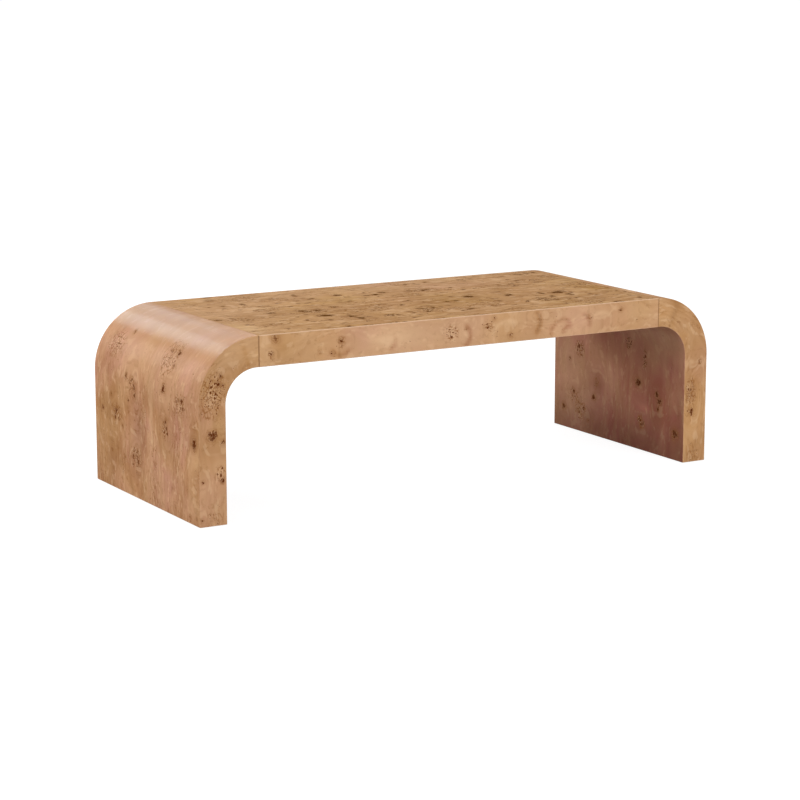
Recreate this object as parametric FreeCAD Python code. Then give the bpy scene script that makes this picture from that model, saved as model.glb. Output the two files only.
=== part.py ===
"""Waterfall coffee table: a flat centre panel between two ends that bend down to the floor.

Each of the three modules is a hollow box. Skins of board or bent plywood are glued over rails and ribs, and
every outside face carries a leaf of burl veneer. The ends are located on the centre panel by dowels and drawn
up to it by bolts, which are reached through capped slots in the underside.

Frame: X runs along the table, Y from front to rear and Z up. The origin is on the floor, under the middle of
the table. All sizes are in millimetres.
"""

import FreeCAD, Part
import math
import os

Vector = FreeCAD.Vector

# Overall form. The centre panel runs from seam to seam, and each bend starts at its seam.
CENTRE_SPAN = 1070.0
DEPTH = 560.0
HEIGHT = 412.5
OUTER_BEND_RADIUS = 147.5
TOP_THICKNESS = 70.0
LEG_THICKNESS = 66.0

# Sheet stock.
VENEER = 0.6
PANEL_SKIN = 9.0
BENT_SKIN = 9.0
SEAM_RELIEF = 0.4  # each veneer leaf stops this far short of the seam, which leaves a hairline groove

# Frame members, by the thickness of their stock.
LONG_RAIL = 18.0
CROSS_RIB = 18.0
CROSS_RIB_COUNT = 5
FORMER = 18.0
MID_FORMER_COUNT = 2
FOOT_RAIL = 30.0
HOLE_BACKING = 8.0  # wood behind the deepest hole in a rail beside a seam

# Draw bolts across each seam, with their washers and threaded inserts.
BOLT_COUNT = 3
BOLT_DIAMETER = 8.0
BOLT_CLEARANCE = 0.5  # all round, in the centre panel's rail and in the washer
BOLT_TIP = 4.0  # length of shank beyond the insert
BOLT_TIP_CLEARANCE = 1.0
BOLT_HEAD_STEP = 2.5  # from the shank out to the head's rim
BOLT_HEAD_LENGTH = 8.0
HEX_KEY_WIDTH = 6.0
HEX_KEY_DEPTH = 4.5
WASHER_RIM = 5.5  # from the washer's hole out to its rim
WASHER_THICKNESS = 1.6
INSERT_WALL = 2.0
INSERT_LENGTH = 18.0

# Locating dowels across each seam. They stand between the bolts and outside them.
DOWEL_MARGIN = 55.0  # from the front and rear faces to the nearest dowel
DOWEL_DIAMETER = 10.0
DOWEL_LENGTH = 40.0
DOWEL_END_CLEARANCE = 2.0

# Access slots in the underside, one behind each bolt, and their push-in caps.
SLOT_LENGTH = 90.0
SLOT_WIDTH = 34.0
SLOT_SETBACK = 4.0  # from the seam rail's inner face
CAP_FLANGE = 3.0  # overlap of the cap's rim round the slot
CAP_THICKNESS = 1.5
CAP_SKIRT_DEPTH = 8.0
CAP_SKIRT_WALL = 1.5
CAP_CLEARANCE = 0.1

# Glides let into the foot of each end, and their screws.
GLIDE_COUNT = 3
GLIDE_MARGIN = 45.0  # from the front and rear faces to the nearest glide's axis
GLIDE_DIAMETER = 30.0
GLIDE_STAND_OFF = 1.5  # height that the glides hold the foot off the floor
GLIDE_RECESS = 2.5  # depth that the glides are let into the foot rail
GLIDE_CLEARANCE = 0.1
GLIDE_EDGE_BREAK = 0.6
SCREW_DIAMETER = 4.0
SCREW_LENGTH = 20.0
SCREW_HEAD_DIAMETER = 8.0
SCREW_HEAD_DEPTH = 1.6
SCREW_HEAD_SINK = 0.6  # how far the head lies above the glide's running face

# Places that follow from the sizes above, for the left end and the centre panel.
SEAM_X = -CENTRE_SPAN / 2
OUTER_FACE_X = SEAM_X - OUTER_BEND_RADIUS
FRONT_Y = -DEPTH / 2
REAR_Y = DEPTH / 2
BODY_FRONT_Y = FRONT_Y + VENEER
BODY_REAR_Y = REAR_Y - VENEER
UNDERSIDE_Z = HEIGHT - TOP_THICKNESS
JOINT_Z = HEIGHT - TOP_THICKNESS / 2
FOOT_Z = GLIDE_STAND_OFF
FOOT_X = OUTER_FACE_X + LEG_THICKNESS / 2
INNER_BEND_RADIUS = OUTER_BEND_RADIUS - max(TOP_THICKNESS, LEG_THICKNESS)
BEND_CENTRE_Z = HEIGHT - OUTER_BEND_RADIUS
INNER_CENTRE_X = OUTER_FACE_X + LEG_THICKNESS + INNER_BEND_RADIUS
INNER_CENTRE_Z = UNDERSIDE_Z - INNER_BEND_RADIUS
PANEL_WALL = VENEER + PANEL_SKIN
END_WALL = VENEER + BENT_SKIN
FAR = 4 * (CENTRE_SPAN + DEPTH + HEIGHT)  # larger than the table, for trimming blocks
SAME_POINT = 1e-6  # two points nearer than this are one

# Fits and places that follow for the fittings.
BOLT_HOLE_DIAMETER = BOLT_DIAMETER + 2 * BOLT_CLEARANCE
BOLT_HEAD_DIAMETER = BOLT_DIAMETER + 2 * BOLT_HEAD_STEP
BOLT_REACH = INSERT_LENGTH + BOLT_TIP  # length of shank beyond the seam
BOLT_HOLE_DEPTH = BOLT_REACH + BOLT_TIP_CLEARANCE
WASHER_DIAMETER = BOLT_HOLE_DIAMETER + 2 * WASHER_RIM
INSERT_DIAMETER = BOLT_DIAMETER + 2 * INSERT_WALL
DOWEL_HOLE_DEPTH = DOWEL_LENGTH / 2 + DOWEL_END_CLEARANCE
SEAM_RAIL = DOWEL_HOLE_DEPTH + HOLE_BACKING
JOINT_RAIL = max(DOWEL_HOLE_DEPTH, BOLT_HOLE_DEPTH) + HOLE_BACKING
SLOT_X = SEAM_X + SEAM_RAIL + SLOT_SETBACK
GLIDE_POCKET_DIAMETER = GLIDE_DIAMETER + 2 * GLIDE_CLEARANCE

ALONG_X = Vector(1, 0, 0)
ALONG_Z = Vector(0, 0, 1)
ORIGIN = Vector(0, 0, 0)


# Plain shapes.

def block(x_low, x_high, y_low, y_high, z_low, z_high):
    """A box between two corners."""
    return Part.makeBox(x_high - x_low, y_high - y_low, z_high - z_low, Vector(x_low, y_low, z_low))


def rod(diameter, start, length, axis):
    """A cylinder that starts at a point and runs along an axis."""
    return Part.makeCylinder(diameter / 2, length, start, axis)


def evenly(count, pitch):
    """Places either side of the middle, a pitch apart."""
    return [(i - (count - 1) / 2) * pitch for i in range(count)]


def group(make, places):
    """Identical pieces at several places, as separate solids."""
    return Part.makeCompound([make(place) for place in places])


def mirrored(shape):
    """The right-hand twin of a left-hand shape."""
    return shape.mirror(ORIGIN, ALONG_X)


# Where the fittings stand across the depth of the table.

FITTING_PITCH = (DEPTH - 2 * DOWEL_MARGIN) / BOLT_COUNT
BOLT_PLACES = evenly(BOLT_COUNT, FITTING_PITCH)
DOWEL_PLACES = evenly(BOLT_COUNT + 1, FITTING_PITCH)
GLIDE_PLACES = evenly(GLIDE_COUNT, (DEPTH - 2 * GLIDE_MARGIN) / max(GLIDE_COUNT - 1, 1))


# The bent profile of the left end, drawn in the XZ plane.

def bent_path(centre_x, centre_z, radius):
    """Corner points of one face of the left end: seam, start, middle and end of the bend, and foot."""
    diagonal = radius * math.sqrt(0.5)
    return [
        Vector(SEAM_X, 0, centre_z + radius),
        Vector(centre_x, 0, centre_z + radius),
        Vector(centre_x - diagonal, 0, centre_z + diagonal),
        Vector(centre_x - radius, 0, centre_z),
        Vector(centre_x - radius, 0, FOOT_Z),
    ]


def outer_path(inset):
    """The left end's outer face, moved into the wood by an inset."""
    return bent_path(SEAM_X, BEND_CENTRE_Z, OUTER_BEND_RADIUS - inset)


def inner_path(inset):
    """The left end's inner face, moved into the wood by an inset."""
    return bent_path(INNER_CENTRE_X, INNER_CENTRE_Z, INNER_BEND_RADIUS + inset)


def straight(start, end):
    """A list of one straight edge, or of none where both ends are one point."""
    return [] if start.isEqual(end, SAME_POINT) else [Part.LineSegment(start, end).toShape()]


def path_edges(path):
    """The edges of a bent path, in order from the seam to the foot."""
    seam, bend_start, bend_middle, bend_end, foot = path
    bend = Part.Arc(bend_start, bend_middle, bend_end).toShape()
    return straight(seam, bend_start) + [bend] + straight(bend_end, foot)


def bent_sheet(first, second, y_low, y_high):
    """The solid between two bent paths, over a range of Y."""
    there = path_edges(first) + straight(first[-1], second[-1])
    back = path_edges(second)[::-1] + straight(second[0], first[0])
    face = Part.Face(Part.Wire(there + back))
    face.translate(Vector(0, y_low, 0))
    return face.extrude(Vector(0, y_high - y_low, 0))


def clear_of_seam(shape):
    """A leaf of the left end, stopped short of the seam."""
    return shape.common(block(-FAR, SEAM_X - SEAM_RELIEF, -FAR, FAR, -FAR, FAR))


# Centre panel.

def slot_prism(y, grow, z_low, z_high):
    """A round-ended slot behind one bolt of the left seam, grown all round."""
    width = SLOT_WIDTH + 2 * grow
    end_centres = (SLOT_X + SLOT_WIDTH / 2, SLOT_X + SLOT_LENGTH - SLOT_WIDTH / 2)
    middle = block(*end_centres, y - width / 2, y + width / 2, z_low, z_high)
    ends = [rod(width, Vector(x, y, z_low), z_high - z_low, ALONG_Z) for x in end_centres]
    return middle.fuse(ends).removeSplitter()


def access_slots():
    """The slot-shaped cuts through the underside, at both seams."""
    left = [slot_prism(y, 0, UNDERSIDE_Z, UNDERSIDE_Z + PANEL_WALL) for y in BOLT_PLACES]
    return left + [mirrored(slot) for slot in left]


def panel_leaf(y_low, y_high, z_low, z_high):
    """A veneer leaf over one face of the centre panel, stopped short of both seams."""
    reach = CENTRE_SPAN / 2 - SEAM_RELIEF
    return block(-reach, reach, y_low, y_high, z_low, z_high)


def panel_skin(z_low):
    """A board under the veneers, over the whole of the centre panel."""
    return block(SEAM_X, -SEAM_X, BODY_FRONT_Y, BODY_REAR_Y, z_low, z_low + PANEL_SKIN)


def panel_member(x_low, x_high, y_low, y_high):
    """A frame member between the centre panel's skins."""
    return block(x_low, x_high, y_low, y_high, UNDERSIDE_Z + PANEL_WALL, HEIGHT - PANEL_WALL)


def cross_member(x_low, x_high):
    """A frame member between the two long rails."""
    return panel_member(x_low, x_high, BODY_FRONT_Y + LONG_RAIL, BODY_REAR_Y - LONG_RAIL)


def left_seam_rail():
    """The rail inside the left seam, with its bolt and dowel holes."""
    rail = cross_member(SEAM_X, SEAM_X + SEAM_RAIL)
    bolt_holes = [rod(BOLT_HOLE_DIAMETER, seam_point(y), SEAM_RAIL, ALONG_X) for y in BOLT_PLACES]
    return rail.cut(bolt_holes + dowel_holes(ALONG_X))


def cross_rib(x):
    """A rib between the long rails."""
    return cross_member(x - CROSS_RIB / 2, x + CROSS_RIB / 2)


def cross_rib_places():
    """Places for the ribs, evenly spaced between the access slots of the two seams."""
    slot_end = SLOT_X + SLOT_LENGTH
    return evenly(CROSS_RIB_COUNT, -2 * slot_end / CROSS_RIB_COUNT)


def centre_panel():
    """The centre panel's nodes."""
    slots = access_slots()
    seam_rail = left_seam_rail()
    return {
        "centre_top_veneer": panel_leaf(FRONT_Y, REAR_Y, HEIGHT - VENEER, HEIGHT),
        "centre_underside_veneer": panel_leaf(FRONT_Y, REAR_Y, UNDERSIDE_Z, UNDERSIDE_Z + VENEER).cut(slots),
        "centre_front_edge_veneer": panel_leaf(FRONT_Y, BODY_FRONT_Y, UNDERSIDE_Z + VENEER, HEIGHT - VENEER),
        "centre_rear_edge_veneer": panel_leaf(BODY_REAR_Y, REAR_Y, UNDERSIDE_Z + VENEER, HEIGHT - VENEER),
        "centre_top_skin": panel_skin(HEIGHT - PANEL_WALL),
        "centre_bottom_skin": panel_skin(UNDERSIDE_Z + VENEER).cut(slots),
        "centre_front_rail": panel_member(SEAM_X, -SEAM_X, BODY_FRONT_Y, BODY_FRONT_Y + LONG_RAIL),
        "centre_rear_rail": panel_member(SEAM_X, -SEAM_X, BODY_REAR_Y - LONG_RAIL, BODY_REAR_Y),
        "centre_left_seam_rail": seam_rail,
        "centre_right_seam_rail": mirrored(seam_rail),
        "centre_cross_ribs": group(cross_rib, cross_rib_places()),
    }


# Left end. The right end is its mirror image.

def core_member(y_low, y_high, x_low, x_high, z_low, z_high):
    """Part of the left end's core, between the bent skins and inside a block."""
    core = bent_sheet(outer_path(END_WALL), inner_path(END_WALL), y_low, y_high)
    return core.common(block(x_low, x_high, -FAR, FAR, z_low, z_high))


def former(y):
    """A bent rib centred at one place, from the foot rail up and over to the joint rail."""
    y_low = y - FORMER / 2
    return core_member(y_low, y_low + FORMER, -FAR, SEAM_X - JOINT_RAIL, FOOT_Z + FOOT_RAIL, FAR)


def mid_former_places():
    """Places for the formers between the front one and the rear one, evenly spaced."""
    return evenly(MID_FORMER_COUNT, (BODY_REAR_Y - BODY_FRONT_Y - FORMER) / (MID_FORMER_COUNT + 1))


def joint_rail():
    """The rail behind the left end's mating face, bored for the inserts, the bolts' tips and the dowels."""
    rail = core_member(BODY_FRONT_Y, BODY_REAR_Y, SEAM_X - JOINT_RAIL, SEAM_X, -FAR, FAR)
    insert_holes = [rod(INSERT_DIAMETER, seam_point(y), INSERT_LENGTH, -ALONG_X) for y in BOLT_PLACES]
    tip_holes = [rod(BOLT_HOLE_DIAMETER, seam_point(y), BOLT_HOLE_DEPTH, -ALONG_X) for y in BOLT_PLACES]
    return rail.cut(insert_holes + tip_holes + dowel_holes(-ALONG_X))


def foot_rail():
    """The rail that closes the foot, with pockets for the glides and holes for their screws."""
    rail = core_member(BODY_FRONT_Y, BODY_REAR_Y, -FAR, FAR, -FAR, FOOT_Z + FOOT_RAIL)
    pockets = [rod(GLIDE_POCKET_DIAMETER, foot_point(y, FOOT_Z), GLIDE_RECESS, ALONG_Z) for y in GLIDE_PLACES]
    return rail.cut(pockets + [glide_screw(y) for y in GLIDE_PLACES])


def left_end():
    """The left end's nodes, without the side in their names."""
    front_face = (outer_path(VENEER), inner_path(VENEER))
    return {
        "outer_veneer": clear_of_seam(bent_sheet(outer_path(0), outer_path(VENEER), FRONT_Y, REAR_Y)),
        "inner_veneer": clear_of_seam(bent_sheet(inner_path(VENEER), inner_path(0), FRONT_Y, REAR_Y)),
        "front_edge_veneer": clear_of_seam(bent_sheet(*front_face, FRONT_Y, BODY_FRONT_Y)),
        "rear_edge_veneer": clear_of_seam(bent_sheet(*front_face, BODY_REAR_Y, REAR_Y)),
        "outer_skin": bent_sheet(outer_path(VENEER), outer_path(END_WALL), BODY_FRONT_Y, BODY_REAR_Y),
        "inner_skin": bent_sheet(inner_path(END_WALL), inner_path(VENEER), BODY_FRONT_Y, BODY_REAR_Y),
        "front_former": former(BODY_FRONT_Y + FORMER / 2),
        "rear_former": former(BODY_REAR_Y - FORMER / 2),
        "mid_formers": group(former, mid_former_places()),
        "joint_rail": joint_rail(),
        "foot_rail": foot_rail(),
    }


# Hardware of the left seam and the left foot.

def seam_point(y, offset=0):
    """A fitting's place in the left seam, moved along X by an offset."""
    return Vector(SEAM_X + offset, y, JOINT_Z)


def foot_point(y, z):
    """A fitting's place under the left foot, at a height."""
    return Vector(FOOT_X, y, z)


def dowel_holes(direction):
    """Blind dowel holes from the left seam, in the direction of one of the two modules."""
    return [rod(DOWEL_DIAMETER, seam_point(y), DOWEL_HOLE_DEPTH, direction) for y in DOWEL_PLACES]


def dowel(y):
    """A locating dowel, half in each module."""
    return rod(DOWEL_DIAMETER, seam_point(y, -DOWEL_LENGTH / 2), DOWEL_LENGTH, ALONG_X)


def hexagon_corners(centre, width):
    """The corners of a closed hexagon across X, with a given width across its flats."""
    radius = width / math.sqrt(3)
    turns = [side * math.pi / 3 for side in range(7)]
    return [centre + Vector(0, radius * math.cos(turn), radius * math.sin(turn)) for turn in turns]


def joint_bolt(y):
    """A socket-head bolt, put in from the centre panel's side."""
    head_offset = SEAM_RAIL + WASHER_THICKNESS
    shank = rod(BOLT_DIAMETER, seam_point(y, -BOLT_REACH), BOLT_REACH + head_offset, ALONG_X)
    head = rod(BOLT_HEAD_DIAMETER, seam_point(y, head_offset), BOLT_HEAD_LENGTH, ALONG_X)
    socket_floor = seam_point(y, head_offset + BOLT_HEAD_LENGTH - HEX_KEY_DEPTH)
    hexagon = Part.Face(Part.makePolygon(hexagon_corners(socket_floor, HEX_KEY_WIDTH)))
    return shank.fuse(head).cut(hexagon.extrude(ALONG_X * HEX_KEY_DEPTH)).removeSplitter()


def washer(y):
    """The washer under a bolt's head."""
    start = seam_point(y, SEAM_RAIL)
    disc = rod(WASHER_DIAMETER, start, WASHER_THICKNESS, ALONG_X)
    return disc.cut(rod(BOLT_HOLE_DIAMETER, start, WASHER_THICKNESS, ALONG_X))


def threaded_insert(y):
    """The sleeve in the joint rail that a bolt screws into."""
    sleeve = rod(INSERT_DIAMETER, seam_point(y), INSERT_LENGTH, -ALONG_X)
    return sleeve.cut(rod(BOLT_DIAMETER, seam_point(y), INSERT_LENGTH, -ALONG_X))


def access_cap(y):
    """A push-in cap: a rim under the panel and a skirt that grips the slot's wall."""
    rim = slot_prism(y, CAP_FLANGE, UNDERSIDE_Z - CAP_THICKNESS, UNDERSIDE_Z)
    skirt = slot_prism(y, -CAP_CLEARANCE, UNDERSIDE_Z, UNDERSIDE_Z + CAP_SKIRT_DEPTH)
    hollow = slot_prism(y, -CAP_CLEARANCE - CAP_SKIRT_WALL, UNDERSIDE_Z, UNDERSIDE_Z + CAP_SKIRT_DEPTH)
    return rim.fuse(skirt.cut(hollow)).removeSplitter()


def glide_screw(y):
    """A countersunk screw that holds a glide."""
    start = foot_point(y, SCREW_HEAD_SINK)
    head = Part.makeCone(SCREW_HEAD_DIAMETER / 2, SCREW_DIAMETER / 2, SCREW_HEAD_DEPTH, start, ALONG_Z)
    return head.fuse(rod(SCREW_DIAMETER, start, SCREW_LENGTH, ALONG_Z)).removeSplitter()


def glide(y):
    """A glide in the foot rail, with its lower edge broken and its screw hole countersunk."""
    radius = GLIDE_DIAMETER / 2
    height = GLIDE_STAND_OFF + GLIDE_RECESS - GLIDE_EDGE_BREAK
    lower = Part.makeCone(radius - GLIDE_EDGE_BREAK, radius, GLIDE_EDGE_BREAK, foot_point(y, 0), ALONG_Z)
    upper = rod(GLIDE_DIAMETER, foot_point(y, GLIDE_EDGE_BREAK), height, ALONG_Z)
    screw_mouth = rod(SCREW_HEAD_DIAMETER, foot_point(y, 0), SCREW_HEAD_SINK, ALONG_Z)
    return lower.fuse(upper).removeSplitter().cut([screw_mouth, glide_screw(y)])


def left_hardware():
    """The hardware's nodes at the left end, without the side in their names."""
    return {
        "joint_dowels": group(dowel, DOWEL_PLACES),
        "joint_bolts": group(joint_bolt, BOLT_PLACES),
        "joint_washers": group(washer, BOLT_PLACES),
        "threaded_inserts": group(threaded_insert, BOLT_PLACES),
        "access_caps": group(access_cap, BOLT_PLACES),
        "floor_glides": group(glide, GLIDE_PLACES),
        "glide_screws": group(glide_screw, GLIDE_PLACES),
    }


def main():
    """Builds every node and writes one STEP file for each."""
    nodes = centre_panel()
    for name, shape in {**left_end(), **left_hardware()}.items():
        nodes["left_" + name] = shape
        nodes["right_" + name] = mirrored(shape)
    os.makedirs("parts", exist_ok=True)
    for name, shape in nodes.items():
        shape.exportStep("parts/" + name + ".step")


main()
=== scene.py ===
"""Looks of a waterfall coffee table: burl veneer leaves, boards and hardware, and a plain studio."""

import logging
import math
import random
from collections.abc import Callable
from dataclasses import dataclass, field
from enum import Enum

import bmesh
import bpy
import numpy as np
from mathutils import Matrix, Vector


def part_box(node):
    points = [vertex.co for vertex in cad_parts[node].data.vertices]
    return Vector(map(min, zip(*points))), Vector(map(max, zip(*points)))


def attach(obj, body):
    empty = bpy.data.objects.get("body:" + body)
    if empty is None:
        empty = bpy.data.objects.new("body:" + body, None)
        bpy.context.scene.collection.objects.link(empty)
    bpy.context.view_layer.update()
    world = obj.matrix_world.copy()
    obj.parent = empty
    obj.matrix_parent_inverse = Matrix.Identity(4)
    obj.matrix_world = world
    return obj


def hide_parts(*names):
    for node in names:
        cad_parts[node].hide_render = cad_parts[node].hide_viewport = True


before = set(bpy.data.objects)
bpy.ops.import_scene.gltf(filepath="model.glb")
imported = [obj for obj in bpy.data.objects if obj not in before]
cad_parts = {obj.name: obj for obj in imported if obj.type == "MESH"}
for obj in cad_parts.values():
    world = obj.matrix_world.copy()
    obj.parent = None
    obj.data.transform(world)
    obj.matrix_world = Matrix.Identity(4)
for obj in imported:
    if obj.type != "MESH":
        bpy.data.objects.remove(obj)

LOG = logging.getLogger("waterfall_table")
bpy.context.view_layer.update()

Span = tuple[float, float]
Place = tuple[float, float, float]
Colour = tuple[float, float, float, float]
Points = np.ndarray
Piece = bpy.types.Object
Node = bpy.types.Node
Socket = bpy.types.NodeSocket

MM = 0.001  # metres in a millimetre
GRID_PITCH = 5 * MM  # cell of a veneer leaf's mesh
EASE_RADIUS = 1.5 * MM  # rounding of the table's long arrises
EASE_TURNS = (0.45, 0.7, 1.0, 1.4, 2.4)  # crease lines across the rounding, in ease radii from the arris
BORDER_LAP = 0.02 * MM  # what a face leaf leaves of its thickness at its eased border
RUB_AND_HIGHLIGHT_REACH = 1.3  # ease radii over which an arris is painted pale: rubbed lacquer and a painted highlight
SEAM_LINE_REACH = 2.2 * MM  # reach of the darker line painted beside a seam
SCORE_REACH = 1e-6  # metres within which a scored line takes a point of the mesh for its own
TRIM_REACH = 1e-7  # the same for a trimmed line
SHARP_ANGLE = math.radians(32)  # bend between faces that shows as an edge
LEAF_MAP = "Leaf"  # a leaf's own UV map: metres along and across the grain, times its fineness
GRAIN_FIELD = "grain_field"  # along, across round the knots, offset
DASH_FIELD = "dash_field"  # dark dashes and long streaks, calm, offset
FIGURE_FIELD = "figure_field"  # nearness of a knot, density of pin knots, pin knots sown at random
TONE_FIELD = "tone_field"  # warmth, lightness (in places painted highlight and shade), then the pale arris line of wear and painted highlight less the darker line beside a seam
KNOT_REACH = 4.0  # knot radii over which the nearness of a knot fades
EYE_STRETCH = 1.05  # how much longer an eye is along the grain than across it
PARTING_REACH = 2.2  # knot radii over which the grain parts round a knot
PARTING_LENGTH = 0.45  # how fast the parting closes along the grain
PARTING_DEPTH = 1.6  # how far the grain is pushed aside
PATCH_FALL = 0.7  # how fast a patch fades out from its centre
CURL_STEP = 4.5  # mm between the patches of a curl, and their half size


# ---- figure of the veneer


@dataclass(frozen=True)
class Knot:
    """A burl eye: its place along and across the leaf and its radius, all in mm, and how dark it is."""

    along: float
    across: float
    radius: float
    dark: float = 1.0


@dataclass(frozen=True)
class Patch:
    """A soft oval patch of a leaf in mm: centre, half sizes, and what it adds there."""

    along: float
    across: float
    half_along: float
    half_across: float
    pins: float = 0.0
    warmth: float = 0.0
    light: float = 0.0
    calm: float = 0.0


@dataclass(frozen=True)
class Growth:
    """What a figure is grown from: counts in each area of leaf, and ranges to draw from, with sizes in mm."""

    area: float = 1e5
    eyes: int = 5
    least_eyes: int = 3
    patches: int = 3
    least_patches: int = 2
    ground: float = 0.4
    eye_radius: Span = (3.5, 8.5)
    eye_dark: Span = (0.8, 1.05)
    pin_reach: Span = (14, 42)
    pin_breadth: Span = (0.5, 1.0)
    pins: Span = (0.7, 1.0)
    tone_along: Span = (60, 160)
    tone_across: Span = (25, 70)
    warmth: Span = (-0.6, 0.6)
    light: Span = (-0.15, 0.2)


@dataclass
class Figure:
    """The figure of one leaf: its eyes, its patches of pin knots, of tone and of painted light and shade, and
    what holds all over it.
    """

    seed: int
    warmth: float = 0.0
    light: float = 0.0
    sown: float = 0.55
    wildness: float = 1.0
    breadth: float = 1.0
    fineness: float = 1.0
    dashed: float = 0.0
    knots: list[Knot] = field(default_factory=list)
    patches: list[Patch] = field(default_factory=list)

    @classmethod
    def grown(cls, seed: int, length: float, width: float, growth: Growth = Growth()) -> "Figure":
        """Grows a figure of the same kind for a leaf that needs no eye in a set place.

        Args:
            seed: start of the random draws.
            length: the leaf's size along the grain, in mm.
            width: its size across the grain, in mm.
            growth: what it is grown from.

        Returns:
            The figure.
        """
        draw = random.Random(seed)
        share = length * width / growth.area

        def spot() -> Span:
            """A place anywhere on the leaf."""
            return draw.uniform(0, length), draw.uniform(0, width)

        knots = [Knot(*spot(), draw.uniform(*growth.eye_radius), draw.uniform(*growth.eye_dark))
                 for _ in range(max(growth.least_eyes, round(growth.eyes * share)))]
        patches = []
        count = max(growth.least_patches, round(growth.patches * share))
        for _ in range(count):
            place, reach = spot(), draw.uniform(*growth.pin_reach)
            breadth = reach * draw.uniform(*growth.pin_breadth)
            patches.append(Patch(*place, reach, breadth, pins=draw.uniform(*growth.pins)))
        for _ in range(count):
            patches.append(Patch(*spot(), draw.uniform(*growth.tone_along), draw.uniform(*growth.tone_across),
                                 warmth=draw.uniform(*growth.warmth), light=draw.uniform(*growth.light)))
        return cls(seed, growth.ground, knots=knots, patches=patches)

    def knot_nearness(self, along: Points, across: Points) -> Points:
        """Nearness of the closest eye at each point.

        Args:
            along: places along the grain, in metres.
            across: places across it, in metres.

        Returns:
            Its darkness at an eye's centre, falling to 0 at KNOT_REACH radii.
        """
        nearness = np.zeros_like(along)
        pitch = GRID_PITCH / MM
        for knot in self.knots:
            # An eye sits on a point of the mesh, so that the mesh keeps its full depth.
            centre = [pitch * round(place / pitch) * MM for place in (knot.along, knot.across)]
            distance = np.hypot((along - centre[0]) / EYE_STRETCH, across - centre[1]) / (knot.radius * MM)
            nearness = np.maximum(nearness, knot.dark * (1 - distance / KNOT_REACH))
        return nearness

    def flow(self, along: Points, across: Points) -> Points:
        """Place across the grain once the grain has parted round each eye.

        Args:
            along: places along the grain, in metres.
            across: places across it, in metres.

        Returns:
            The parted place, in metres.
        """
        parted = across.copy()
        for knot in self.knots:
            reach = PARTING_REACH * knot.radius * MM
            step_along, step_across = along - knot.along * MM, across - knot.across * MM
            spread = (PARTING_LENGTH * step_along) ** 2 + step_across**2 + reach**2
            parted -= PARTING_DEPTH * reach**2 * step_across / spread
        return parted

    def patch_sums(self, along: Points, across: Points) -> tuple[Points, ...]:
        """What the patches add up to at each point.

        Args:
            along: places along the grain, in metres.
            across: places across it, in metres.

        Returns:
            Pin knots, warmth, lightness and calm.
        """
        pins, warmth, light, calm = (np.zeros_like(along) for _ in range(4))
        for patch in self.patches:
            away = ((along / MM - patch.along) / patch.half_along) ** 2
            away += ((across / MM - patch.across) / patch.half_across) ** 2
            weight = np.exp(-PATCH_FALL * away)
            pins = np.maximum(pins, patch.pins * weight)
            warmth += patch.warmth * weight
            light += patch.light * weight
            calm = np.maximum(calm, patch.calm * weight)
        return pins, warmth, light, calm


def pinned(along: float, across: float, half_along: float, half_across: float, pins: float = 1.0) -> Patch:
    """A patch of pin knots."""
    return Patch(along, across, half_along, half_across, pins=pins)


def toned(along: float, across: float, half_along: float, half_across: float, warmth: float,
          light: float = 0.0) -> Patch:
    """A patch of another tone, also used for painted highlights and painted shade: warmth above 0 is pink,
    above 1.5 russet, and below 0 golden.
    """
    return Patch(along, across, half_along, half_across, warmth=warmth, light=light)


def curl(along: float, across: float, radius: float, first: float, last: float, light: float) -> list[Patch]:
    """A curved stroke of the grain, as patches set along an arc.

    Args:
        along: the arc's centre along the leaf, in mm.
        across: its centre across the leaf.
        radius: its radius.
        first: where it starts, in degrees from along towards across.
        last: where it ends.
        light: how much lighter it is than the leaf.

    Returns:
        The patches.
    """
    count = max(2, round(math.radians(last - first) * radius / CURL_STEP))
    angles = [math.radians(first + (last - first) * step / count) for step in range(count + 1)]
    places = [(along + radius * math.cos(angle), across + radius * math.sin(angle)) for angle in angles]
    return [toned(*place, CURL_STEP, CURL_STEP, 0, light) for place in places]


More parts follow.
